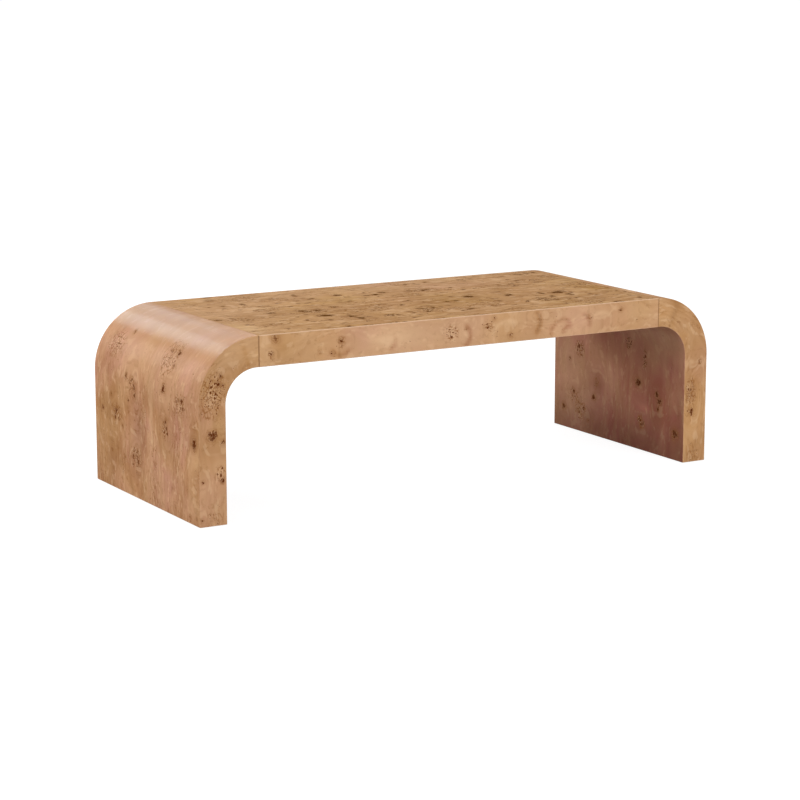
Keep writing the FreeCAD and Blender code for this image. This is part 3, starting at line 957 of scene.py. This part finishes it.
class Handling(Effect):
    """Fine dust and the smudges of handling."""

    name = "handling"
    takes = {"Place": VECTOR}
    gives = ("Smudge", "Dust")
    smudges, specks = 11.0, 900.0  # in a metre

    @classmethod
    def build(cls, graph: Graph, inputs: dict[str, Value]) -> dict[str, Value]:
        """Adds the nodes of smudges and dust.

        Args:
            graph: the group's tree.
            inputs: Place in metres.

        Returns:
            Smudge and Dust, 0 to 1.
        """
        smudge = graph.noise(inputs["Place"], cls.smudges, 3.0, 0.6, 0.4)
        dust = graph.noise(inputs["Place"], cls.specks, 1.0)
        return {"Smudge": graph.rise(smudge, 0.42, 0.68), "Dust": graph.rise(dust, 0.62, 0.8)}


def lin(red: int, green: int, blue: int) -> Colour:
    """A shader colour from a display colour of 0 to 255."""
    parts = (value / 255 for value in (red, green, blue))
    return (*(part / 12.92 if part <= 0.04045 else ((part + 0.055) / 1.055) ** 2.4 for part in parts), 1.0)


@dataclass(frozen=True)
class Finish:
    """A finish: one material, made once and given to any number of pieces.

    Counts of its figure, such as fibres or flecks, are in a metre.
    """

    name: str

    def material(self) -> bpy.types.Material:
        """The material, made the first time that it is asked for.

        Returns:
            The material.
        """
        made = bpy.data.materials.get(self.name)
        if made:
            return made
        made = bpy.data.materials.new(self.name)
        made.use_nodes = True
        graph = Graph(made.node_tree)
        shader = graph.add("BsdfPrincipled")
        graph.add("OutputMaterial", shader.outputs[0])
        self.build(graph, shader)
        return made

    def build(self, graph: Graph, shader: Node) -> None:
        """Adds the finish's nodes before its shader."""
        raise NotImplementedError

    def paint(self, piece: Piece) -> None:
        """Gives the finish to every material slot of a piece.

        Args:
            piece: the piece.
        """
        if not piece.material_slots:
            piece.data.materials.append(None)
        for slot in piece.material_slots:
            slot.material = self.material()

    @staticmethod
    def raise_surface(graph: Graph, shader: Node, height: object, depth: float, strength: float) -> None:
        """Feeds a height through a bump to the shader.

        Args:
            graph: the material's tree.
            shader: its shader.
            height: the height, 0 to 1.
            depth: metres that a height of 1 stands for.
            strength: how much of it shows.
        """
        bump = graph.give(graph.add("Bump"), Height=height, Distance=depth, Strength=strength)
        graph.give(shader, Normal=bump.outputs[0])


class Lay(Enum):
    """Where a veneer's finish reads its figure from."""

    FIELDS = "the leaf's own fields"
    FLAT = "the object's X and Y"


@dataclass(frozen=True)
class BurlVeneer(Finish):
    """Mappa burl veneer under a satin lacquer."""

    lay: Lay = Lay.FIELDS
    honey: Colour = lin(190, 141, 92)
    straw: Colour = lin(216, 174, 130)
    umber: Colour = lin(140, 91, 48)
    blush: Colour = lin(198, 143, 120)
    russet: Colour = lin(178, 100, 94)
    gold: Colour = lin(188, 143, 80)
    bark: Colour = lin(98, 55, 16)
    halo: Colour = lin(138, 86, 42)
    pin: Colour = lin(98, 45, 14)
    eye: Colour = lin(94, 47, 20)
    rim: Colour = lin(222, 182, 142)
    worn_arris_highlight: Colour = lin(236, 205, 178)
    seam_dark: Colour = lin(110, 68, 42)
    roughness: float = 0.42
    lacquer: float = 0.07
    polish: float = 0.14
    lacquer_roughness: float = 0.24
    lacquer_index: float = 1.3
    relief_depth: float = 0.12 * MM
    wander: float = 0.022
    pin_groups: Place = (11, 17, 1)
    hue_patches: float = 6.5
    flat_eyes: float = 15.0
    flat_pins: float = 17.0
    flat_light: float = 4.0
    flat_warmth: float = 0.4
    flat_sown: float = 0.5
    flat_offset: float = 5.0

    def build(self, graph: Graph, shader: Node) -> None:
        """Adds the burl.

        Args:
            graph: the material's tree.
            shader: its shader.
        """
        place, grain, figure, tone, dashed = self.sources(graph)
        nearness, pins, sowing = graph.parts(figure)
        warmth, light, border = graph.parts(tone)
        busy, calm, _ = graph.parts(dashed)
        lively = graph.rise(sowing, 0.0, 0.5, 0.25, 1.0)
        grained = graph.rise(sowing, 0.1, 0.45)
        swirl = pins * 2.5 + 2.2
        lines = graph.effect(GrainLines, Grain=grain, Wander=self.wander, Swirl=swirl)
        sown = graph.rise(graph.noise(place, self.pin_groups, 2.0), 0.42, 0.68)
        sown = graph.most(pins, sown * sowing)
        eyes = graph.effect(BurlEyes, Place=place, Nearness=nearness, Pins=sown)
        smudge = graph.effect(Handling, Place=place)["Smudge"]
        patchy = graph.noise(place, self.hue_patches, 2.0, 0.5, 0.6) - 0.5
        hue = warmth + patchy * 1.4
        pale = (lines["Bands"] - 0.5) * lively + 0.5
        shade = (0.5 - lines["Clouds"]) * lively + 0.5
        relief = lines["Lines"] * (grained * graph.rise(calm, 0.1, 0.45, 1.0, 0.0))
        curl = lines["Curls"] * graph.rise(sown, 0.0, 0.8, 0.1, 0.28)
        fleck = lines["Flecks"] * graph.rise(sown, 0.0, 0.8, 0.3, 0.75)
        streak = lines["Streaks"] * busy * (grained * 0.42)
        dash = lines["Dashes"] * (busy * busy * grained)
        colour = graph.layered(
            self.honey,
            (graph.rise(hue, 0.0, 1.0), self.blush),
            (graph.rise(hue * -1.0, 0.0, 1.0), self.gold),
            (graph.rise(hue, 1.5, 2.5), self.russet),
            (pale * 0.5, self.straw),
            (shade * 0.42, self.umber),
            (relief * ((busy + 0.5) * 0.16), self.umber),
            (curl * grained, self.umber),
            (fleck * grained, self.umber),
            (streak, self.umber),
            (dash, self.bark),
            (lines["Wisps"] * (lively * 0.32), self.rim),
            # Light above 0 blends toward the rim colour and light below 0 darkens. The painted highlights and
            # painted shade of the tone patches show through these two layers, as real tone does.
            (graph.math("MULTIPLY", light, 1.5, clamp=True), self.rim),
        )
        shaded = graph.math("MINIMUM", light, 0.0) + 1.0
        colour = graph.layered(
            graph.blend(1.0, colour, graph.grey(shaded), "MULTIPLY"),
            (eyes["Halo"] * 0.24, self.halo),
            (eyes["Rings"] * 0.36, self.halo),
            (eyes["Whorl"] * 0.8, self.halo),
            (eyes["Rim"] * 0.3, self.rim),
            (eyes["Pin"] * 0.9, self.pin),
            (eyes["Eye"] * 0.85, self.eye),
            # Pale arris line: wear and a painted highlight.
            (border * 0.6, self.worn_arris_highlight),
            # Darker line painted beside each seam.
            (border * -0.7, self.seam_dark),
        )
        rough = relief * 0.07 + smudge * 0.07
        pores = graph.most(graph.most(eyes["Pin"], eyes["Eye"]), dash)
        sealed = 1.0 - pores * 0.9
        polished = graph.rise(calm, 0.3, 0.68, 0.0, self.polish) + self.lacquer
        graph.give(shader, Base_Color=colour, Roughness=rough + self.roughness)
        graph.give(shader, Specular_IOR_Level=0.0, Coat_Weight=polished * sealed,
                   Coat_Roughness=self.lacquer_roughness, Coat_IOR=self.lacquer_index)
        dips = graph.most(eyes["Eye"] * 0.8, eyes["Pin"] * 0.5)
        height = 1.0 - (dips + relief * 0.2)
        self.raise_surface(graph, shader, height, self.relief_depth, 0.5)

    def sources(self, graph: Graph) -> tuple[Value, ...]:
        """The vectors that the figure is read from.

        Args:
            graph: the material's tree.

        Returns:
            Place, grain, figure, tone and dashes.
        """
        if self.lay is Lay.FIELDS:
            fields = [graph.value("Attribute", end="Vector", attribute_name=name)
                      for name in (GRAIN_FIELD, FIGURE_FIELD, TONE_FIELD, DASH_FIELD)]
            return graph.value("UVMap", uv_map=LEAF_MAP), *fields
        place = graph.object_place()
        x, y, _ = graph.parts(place)
        distance, chance = graph.cells(place, self.flat_eyes)
        near = graph.math("SUBTRACT", 1.0, distance * 2.6, clamp=True)
        near = near * graph.rise(chance, 0.3, 0.9)
        pins = graph.rise(graph.noise(place, self.flat_pins, 1.0), 0.55, 0.75)
        light = (graph.noise(place, self.flat_light, 1.0) - 0.5) * 0.3
        grain, figure = graph.joined(x, y, self.flat_offset), graph.joined(near, pins, self.flat_sown)
        return place, grain, figure, graph.joined(self.flat_warmth, light, 0.0), graph.joined(0.0, 0.0, 0.0)


@dataclass(frozen=True)
class RawTimber(Finish):
    """Planed timber or raw plywood, with its grain along one axis of the object."""

    pale: Colour = lin(214, 176, 124)
    dark: Colour = lin(178, 134, 84)
    along: int = 1
    fineness: float = 1.0
    wander: float = 0.02
    fleck: float = 0.0
    ray: Colour = lin(120, 76, 46)
    dust: Colour = lin(232, 214, 184)
    roughness: float = 0.62
    relief_depth: float = 0.1 * MM
    swirl: float = 0.6
    depth_share: float = 0.7
    flecks: float = 420.0
    fleck_stretch: Place = (0.3, 1, 1)

    def build(self, graph: Graph, shader: Node) -> None:
        """Adds the grain.

        Args:
            graph: the material's tree.
            shader: its shader.
        """
        place = graph.object_place()
        parts = graph.parts(place)
        others = [part for axis, part in enumerate(parts) if axis != self.along]
        across = others[0] + others[1] * self.depth_share
        grain = graph.joined(parts[self.along], across * self.fineness, others[1])
        lines = graph.effect(GrainLines, Grain=grain, Wander=self.wander, Swirl=self.swirl)
        distance, chance = graph.cells(graph.stretched(grain, self.fleck_stretch), self.flecks)
        fleck = graph.rise(distance, 0.35, 0.15) * graph.rise(chance, 0.4, 0.9)
        colour = graph.layered(
            self.pale,
            (lines["Bands"], self.dark),
            (lines["Lines"] * 0.35, self.dark),
            (fleck * self.fleck, self.ray),
            (graph.effect(Handling, Place=place)["Dust"] * 0.25, self.dust),
        )
        rough = lines["Lines"] * 0.1 + self.roughness
        graph.give(shader, Base_Color=colour, Roughness=rough, Specular_IOR_Level=0.3)
        self.raise_surface(graph, shader, 1.0 - lines["Lines"], self.relief_depth, 0.6)


@dataclass(frozen=True)
class Fibreboard(Finish):
    """Raw sanded fibreboard: fine fibres pressed flat."""

    pale: Colour = lin(186, 158, 122)
    dark: Colour = lin(150, 120, 86)
    dust: Colour = lin(214, 196, 168)
    fibres: Place = (420, 700, 500)
    clouds: float = 22.0
    roughness: float = 0.72
    relief_depth: float = 0.08 * MM

    def build(self, graph: Graph, shader: Node) -> None:
        """Adds the pressed fibres.

        Args:
            graph: the material's tree.
            shader: its shader.
        """
        place = graph.object_place()
        fibre, cloud = graph.noise(place, self.fibres, 3.0, 0.7), graph.noise(place, self.clouds, 2.0)
        colour = graph.layered(
            self.pale,
            (graph.rise(fibre, 0.35, 0.7), self.dark),
            (graph.rise(cloud, 0.4, 0.7) * 0.35, self.dark),
            (graph.effect(Handling, Place=place)["Dust"] * 0.3, self.dust),
        )
        rough = fibre * 0.12 + self.roughness
        graph.give(shader, Base_Color=colour, Roughness=rough, Specular_IOR_Level=0.2)
        self.raise_surface(graph, shader, fibre, self.relief_depth, 0.6)


@dataclass(frozen=True)
class PlatedMetal(Finish):
    """Plated or turned metal: fine turning marks and a little dulling."""

    bright: Colour = lin(206, 207, 204)
    dull: Colour = lin(164, 166, 164)
    roughness: float = 0.28
    marks: Place = (2600, 500, 900)
    tarnish: float = 190.0
    relief_depth: float = 0.02 * MM

    def build(self, graph: Graph, shader: Node) -> None:
        """Adds the turning marks.

        Args:
            graph: the material's tree.
            shader: its shader.
        """
        place = graph.object_place()
        smudge = graph.effect(Handling, Place=place)["Smudge"]
        marks, tarnish = graph.noise(place, self.marks, 1.0), graph.noise(place, self.tarnish, 2.0, 0.6)
        colour = graph.layered(self.bright, (graph.rise(tarnish, 0.35, 0.7), self.dull),
                               (smudge * 0.3, self.dull))
        rough = tarnish * 0.16 + marks * 0.08
        graph.give(shader, Base_Color=colour, Metallic=1.0, Roughness=rough + self.roughness)
        self.raise_surface(graph, shader, marks, self.relief_depth, 0.5)


@dataclass(frozen=True)
class MouldedPlastic(Finish):
    """Moulded plastic with a fine spark texture and a few rubbed spots."""

    body: Colour = lin(84, 54, 36)
    rubbed: Colour = lin(112, 76, 52)
    roughness: float = 0.45
    grain: float = 1900.0
    relief_depth: float = 0.03 * MM

    def build(self, graph: Graph, shader: Node) -> None:
        """Adds the spark texture.

        Args:
            graph: the material's tree.
            shader: its shader.
        """
        place = graph.object_place()
        handling = graph.effect(Handling, Place=place)
        spark = graph.noise(place, self.grain, 2.0, 0.6)
        colour = graph.layered(self.body, (handling["Smudge"] * 0.5, self.rubbed),
                               (handling["Dust"] * 0.25, self.rubbed))
        rough = spark * 0.12 + handling["Smudge"] * -0.06
        rough = rough + self.roughness
        graph.give(shader, Base_Color=colour, Roughness=rough, Specular_IOR_Level=0.45)
        self.raise_surface(graph, shader, spark, self.relief_depth, 0.7)


BURL = BurlVeneer("burl_veneer_leaf")
BURL_TOP = BurlVeneer("burl_veneer_top", umber=lin(140, 91, 40), bark=lin(92, 52, 8), halo=lin(130, 84, 32),
                      pin=lin(86, 48, 6), eye=lin(84, 46, 8))
BURL_BELOW = BurlVeneer("burl_veneer_below", lay=Lay.FLAT)
FIBREBOARD = Fibreboard("raw_fibreboard")
BENT_PLY = RawTimber("bent_plywood_skin", lin(219, 186, 138), lin(190, 150, 102), 1, 0.7, fleck=0.25)
BIRCH_PLY = RawTimber("birch_plywood_rib", lin(226, 199, 154), lin(196, 162, 112), 0, 1.4, 0.006, 0.2)
PINE = RawTimber("planed_pine", lin(224, 190, 134), lin(190, 140, 82), 1, 0.55, 0.012)
PINE_LONG = RawTimber("planed_pine_long", PINE.pale, PINE.dark, 0, PINE.fineness, PINE.wander)
BEECH = RawTimber("fluted_beech", lin(219, 176, 132), lin(188, 138, 96), 0, 1.2, 0.004, 0.9)
ZINC = PlatedMetal("bright_zinc")
BRASS = PlatedMetal("turned_brass", lin(214, 178, 102), lin(172, 136, 70), 0.24)
BROWN_CAP = MouldedPlastic("brown_cap_plastic")
BLACK_GLIDE = MouldedPlastic("black_glide_plastic", lin(34, 34, 35), lin(58, 57, 56), 0.52, 1300.0)

PART_FINISHES: dict[str, Finish] = {
    "centre_underside_veneer": BURL_BELOW,
    "centre_top_skin": FIBREBOARD,
    "centre_bottom_skin": FIBREBOARD,
    "centre_cross_ribs": FIBREBOARD,
    "centre_front_rail": PINE_LONG,
    "centre_rear_rail": PINE_LONG,
    "rail": PINE,
    "skin": BENT_PLY,
    "former": BIRCH_PLY,
    "joint_dowels": BEECH,
    "joint_bolts": ZINC,
    "joint_washers": ZINC,
    "glide_screws": ZINC,
    "threaded_inserts": BRASS,
    "access_caps": BROWN_CAP,
    "floor_glides": BLACK_GLIDE,
}


# ---- sub-assemblies


@dataclass
class VeneerWork:
    """The veneer's gauge, the table's faces, and how a leaf joins the table."""

    sheet: float
    top: float
    under: float
    front: float
    rear: float
    seam: float

    @classmethod
    def from_frame(cls) -> "VeneerWork":
        """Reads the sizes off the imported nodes.

        Returns:
            The shared sizes.
        """
        low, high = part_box("centre_top_veneer")
        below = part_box("centre_underside_veneer")[0]
        end_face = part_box("right_outer_veneer")[0].x
        return cls(high.z - low.z, high.z, below.z, low.y, high.y, (high.x + end_face) / 2)

    @property
    def depth(self) -> float:
        """The table's size from front to rear."""
        return self.rear - self.front

    @property
    def thickness(self) -> float:
        """The top's size from face to face."""
        return self.top - self.under

    @property
    def relief(self) -> float:
        """How far each leaf stops short of a seam."""
        return self.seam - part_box("centre_top_veneer")[1].x

    @property
    def lap(self) -> float:
        """How far a face leaf's eased border lies in from the arris."""
        depth = EASE_RADIUS - self.sheet + BORDER_LAP
        return EASE_RADIUS - math.sqrt(EASE_RADIUS**2 - depth**2)

    def outside(self, edge: Edge, height: Points) -> Points:
        """Y of points at a height above an edge's face."""
        return (self.front if edge is Edge.FRONT else self.rear) + edge.value * height

    def join(self, piece: Piece, node: str, finish: Finish = BURL) -> None:
        """Finishes a leaf and lets it stand for its node.

        Args:
            piece: the leaf.
            node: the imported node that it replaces.
            finish: its finish.
        """
        finish.paint(piece)
        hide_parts(node)
        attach(piece, "root")
        LOG.info("%s: %d faces", piece.name, len(piece.data.polygons))


@dataclass
class CentrePanel:
    """The straight panel between the two seams."""

    work: VeneerWork

    def build(self) -> None:
        """Lays the top leaf and the two edge leaves."""
        run, thickness = 2 * self.work.seam / MM, self.work.thickness / MM
        self.lay_top()
        self.lay_edge(Edge.FRONT, FRONT_EDGE_FIGURE)
        self.lay_edge(Edge.REAR, Figure.grown(CENTRE_REAR_SEED, run, thickness))

    def lay_top(self) -> None:
        """Lays the top leaf."""
        work = self.work
        leaf = Leaf("centre_top_leaf", 2 * work.seam, work.depth, work.sheet, TOP_FIGURE, work.relief,
                    work.relief, work.lap, FACE_SEAM, TOP_RIGHT_SEAM, rubbed=1.0)
        piece = leaf.laid(lambda along, across, height: (along - work.seam, work.rear - across,
                                                         work.top + height))
        work.join(piece, "centre_top_veneer", BURL_TOP)

    def lay_edge(self, edge: Edge, figure: Figure) -> None:
        """Lays an edge leaf.

        Args:
            edge: the edge.
            figure: its figure.
        """
        work = self.work
        leaf = Leaf(f"centre_{edge.word}_edge_leaf", 2 * work.seam, work.thickness, work.sheet, figure,
                    work.relief, work.relief, work.sheet, *EDGE_SEAMS.values(), rubbed=1.0)
        piece = leaf.laid(lambda along, across, height: (along - work.seam, work.outside(edge, height),
                                                         work.top - across))
        work.join(piece, f"centre_{edge.word}_edge_veneer")


@dataclass
class BentEnd:
    """One bent end: the bend and the leg in one sweep."""

    work: VeneerWork
    side: Side
    outer_figure: Figure
    inner_figure: Figure
    front_figure: Figure

    def __post_init__(self) -> None:
        """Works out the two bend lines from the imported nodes."""
        work = self.work
        low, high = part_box("right_outer_veneer")
        inner_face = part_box("right_inner_veneer")[1].x - work.sheet
        self.foot = low.z
        radius = high.x - work.seam
        centre_z = work.top - radius
        inner_radius = work.under - centre_z
        self.outer = BendLine(work.seam, work.seam, centre_z, radius)
        self.inner = BendLine(work.seam, inner_face - inner_radius, centre_z, inner_radius)

    def build(self) -> None:
        """Lays the outer, inner and two edge leaves."""
        self.lay_face(Face.OUTER, self.outer, self.outer_figure)
        self.lay_face(Face.INNER, self.inner, self.inner_figure)
        self.lay_edge(Edge.FRONT, self.front_figure)
        run, thickness = self.outer.length_to(self.foot) / MM, self.work.thickness / MM
        self.lay_edge(Edge.REAR, Figure.grown(REAR_SEEDS[self.side], run, thickness))

    def lay_face(self, face: Face, line: BendLine, figure: Figure) -> None:
        """Lays a leaf round the bend and down the leg.

        Args:
            face: the face.
            line: its line.
            figure: its figure.
        """
        work, side = self.work, self.side
        leaf = Leaf(f"{side.word}_{face.word}_leaf", line.length_to(self.foot), work.depth, work.sheet,
                    figure, work.relief, 0, work.lap, FACE_SEAM)

        def lay(along: Points, across: Points, height: Points) -> tuple[Points, ...]:
            """Bends flat places round the line.

            Args:
                along: places along the grain.
                across: places across it.
                height: heights above the face.

            Returns:
                The table's X, Y and Z.
            """
            x, z, normal_x, normal_z = line.place(along)
            lift = face.value * height
            return side.value * (x + lift * normal_x), work.rear - across, z + lift * normal_z

        work.join(leaf.laid(lay), f"{side.word}_{face.word}_veneer")

    def lay_edge(self, edge: Edge, figure: Figure) -> None:
        """Lays a J-shaped edge leaf.

        Args:
            edge: the edge.
            figure: its figure.
        """
        work, side, outer, inner = self.work, self.side, self.outer, self.inner
        leaf = Leaf(f"{side.word}_{edge.word}_edge_leaf", outer.length_to(self.foot), work.thickness,
                    work.sheet, figure, work.relief, 0, work.sheet, EDGE_SEAMS[side])

        def lay(along: Points, across: Points, height: Points) -> tuple[Points, ...]:
            """Fans flat places out between the two lines.

            Args:
                along: places along the grain.
                across: places across it.
                height: heights above the face.

            Returns:
                The table's X, Y and Z.
            """
            turned = np.minimum(along, outer.turned) * inner.turned / outer.turned
            start_x, start_z, *_ = outer.place(along)
            end_x, end_z, *_ = inner.place(turned + np.maximum(along - outer.turned, 0))
            share = across / work.thickness
            x, z = start_x + (end_x - start_x) * share, start_z + (end_z - start_z) * share
            return side.value * x, work.outside(edge, height), z

        work.join(leaf.laid(lay), f"{side.word}_{edge.word}_edge_veneer")


@dataclass
class Core:
    """The boards, rails, ribs and hardware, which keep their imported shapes."""

    finishes: dict[str, Finish]

    def dress(self) -> None:
        """Gives each shown node the finish that its name asks for."""
        for name, node in sorted(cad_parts.items()):
            if node.hide_render:
                continue
            finish = next(kind for words, kind in self.finishes.items() if words in name)
            finish.paint(node)
            LOG.info("%s: %s", name, finish.name)


# ---- studio


WHITE = (1.0, 1.0, 1.0, 1.0)
LEFT_BEND = (-0.58, 0.0, 0.38)  # what the lamps behind the table look at


@dataclass(frozen=True)
class Softbox:
    """A soft lamp: where it stands, what it looks at, its size and its power."""

    name: str
    place: Place
    target: Place
    size: Span
    power: float
    tilt: float = 0.0
    colour: Place = WHITE[:3]

    def hang(self) -> None:
        """Adds the lamp to the scene."""
        lamp = bpy.data.lights.new(self.name, "AREA")
        lamp.shape, lamp.size, lamp.size_y = "RECTANGLE", *self.size
        lamp.energy, lamp.color = self.power, self.colour
        holder = bpy.data.objects.new(self.name, lamp)
        holder.location = self.place
        holder.rotation_euler = (Vector(self.target) - Vector(self.place)).to_track_quat("-Z", "Y").to_euler()
        holder.rotation_euler.rotate_axis("Z", math.radians(self.tilt))
        holder.visible_camera = False
        bpy.context.scene.collection.objects.link(holder)


@dataclass
class Studio:
    """A plain white studio with a pale floor."""

    ambient: float = 0.62
    floor_half: float = 90.0
    floor_grey: float = 0.38
    floor_glow: float = 0.86
    floor_shade: float = 0.26
    softboxes: tuple[Softbox, ...] = (
        Softbox("key_softbox", (-4.2, -0.6, 2.6), (0.0, 0.0, 0.2), (2.4, 2.4), 50.0,
                colour=(0.98, 1.0, 1.05)),
        Softbox("front_softbox", (1.0, -5.0, 1.9), (0.2, 0.0, 0.2), (2.6, 1.8), 140.0,
                colour=(0.96, 1.0, 1.04)),
        Softbox("low_side_softbox", (-3.4, -1.2, 0.35), (0.62, 0.0, 0.2), (1.6, 0.5), 7.2),
        Softbox("rear_softbox", (-2.6, 3.3, 1.6), (0.0, 0.0, 0.2), (1.6, 1.2), 60.0),
        Softbox("low_bend_softbox", (0.3, 3.58, 1.84), LEFT_BEND, (1.36, 0.6), 12.6, 31.0,
                (0.84, 1.02, 1.16)),
        Softbox("high_bend_softbox", (-0.62, 3.58, 2.11), LEFT_BEND, (0.85, 0.75), 25.0,
                colour=(0.85, 1.02, 1.12)),
        Softbox("seam_bend_softbox", (1.28, 3.58, 1.5), LEFT_BEND, (0.5, 0.45), 2.2,
                colour=(1.0, 1.0, 0.92)),
    )

    def build(self) -> None:
        """Makes the floor, the surroundings and the lamps."""
        self.lay_floor()
        self.light_world()
        for softbox in self.softboxes:
            softbox.hang()

    @staticmethod
    def choose(graph: Graph, unseen: Node, seen: Node, end: str) -> None:
        """Shows one shader where a camera, glossy or transmission ray arrives, and another elsewhere.

        Args:
            graph: the tree.
            unseen: the shader that lights the table.
            seen: the shader that is looked at.
            end: kind of the tree's last node.
        """
        rays = graph.add("LightPath").outputs
        seeing = graph.most(rays["Is Camera Ray"], rays["Is Glossy Ray"])
        seeing = graph.most(seeing, rays["Is Transmission Ray"])
        chosen = graph.add("MixShader", seeing, unseen.outputs[0], seen.outputs[0])
        graph.add(end, chosen.outputs[0])

    def lay_floor(self) -> None:
        """Makes the floor, which stays pale and keeps a faint shadow."""
        slab = bmesh.new()
        bmesh.ops.create_grid(slab, x_segments=1, y_segments=1, size=self.floor_half)
        mesh = bpy.data.meshes.new("studio_floor")
        slab.to_mesh(mesh)
        slab.free()
        floor = bpy.data.objects.new("studio_floor", mesh)
        bpy.context.scene.collection.objects.link(floor)
        material = bpy.data.materials.new("pale_floor")
        material.use_nodes = True
        graph = Graph(material.node_tree)
        lit = graph.give(graph.add("BsdfDiffuse"), Color=(*[self.floor_grey] * 3, 1.0))
        shade = graph.give(graph.add("BsdfDiffuse"), Color=(*[self.floor_shade] * 3, 1.0))
        glow = graph.give(graph.add("Emission"), Strength=self.floor_glow)
        pale = graph.add("AddShader", shade.outputs[0], glow.outputs[0])
        self.choose(graph, lit, pale, "OutputMaterial")
        mesh.materials.append(material)

    def light_world(self) -> None:
        """Makes the soft surroundings and the white background."""
        world = bpy.data.worlds.new("studio_world")
        bpy.context.scene.world = world
        world.use_nodes = True
        graph = Graph(world.node_tree)
        soft, white = (graph.give(graph.add("Background"), Color=WHITE, Strength=strength)
                       for strength in (self.ambient, 1.0))
        self.choose(graph, soft, white, "OutputWorld")


@dataclass(frozen=True)
class Viewpoint:
    """The camera: where it stands, how it turns, and its focal length in pixels of a square picture."""

    place: Place = (-2.870, -4.884, 1.274)
    yaw: float = 0.5287
    pitch: float = 0.1924
    focal: float = 2410.8
    picture: float = 800.0
    sensor: float = 36.0
    clip: Span = (0.1, 400.0)

    def set_up(self) -> None:
        """Adds the camera and makes it the scene's."""
        lens = bpy.data.cameras.new("studio_camera")
        lens.sensor_fit, lens.sensor_width = "HORIZONTAL", self.sensor
        lens.lens = self.focal / self.picture * self.sensor
        lens.clip_start, lens.clip_end = self.clip
        camera = bpy.data.objects.new("studio_camera", lens)
        camera.location = self.place
        level = math.cos(self.pitch)
        ahead = Vector((math.sin(self.yaw) * level, math.cos(self.yaw) * level, -math.sin(self.pitch)))
        camera.rotation_euler = ahead.to_track_quat("-Z", "Y").to_euler()
        bpy.context.scene.collection.objects.link(camera)
        bpy.context.scene.camera = camera
        bpy.context.scene.view_settings.view_transform = "Standard"


def main() -> None:
    """Builds the table's looks and its studio."""
    logging.basicConfig(level=logging.INFO, format="%(name)s %(message)s")
    work = VeneerWork.from_frame()
    CentrePanel(work).build()
    left_inner, right_outer = (Figure.grown(seed, UNSEEN_RUN, work.depth / MM) for seed in UNSEEN_SEEDS)
    BentEnd(work, Side.LEFT, LEFT_OUTER_FIGURE, left_inner, LEFT_FRONT_EDGE_FIGURE).build()
    BentEnd(work, Side.RIGHT, right_outer, RIGHT_INNER_FIGURE, RIGHT_FRONT_EDGE_FIGURE).build()
    Core(PART_FINISHES).dress()
    Studio().build()
    Viewpoint().set_up()


if __name__ == "__main__":
    main()
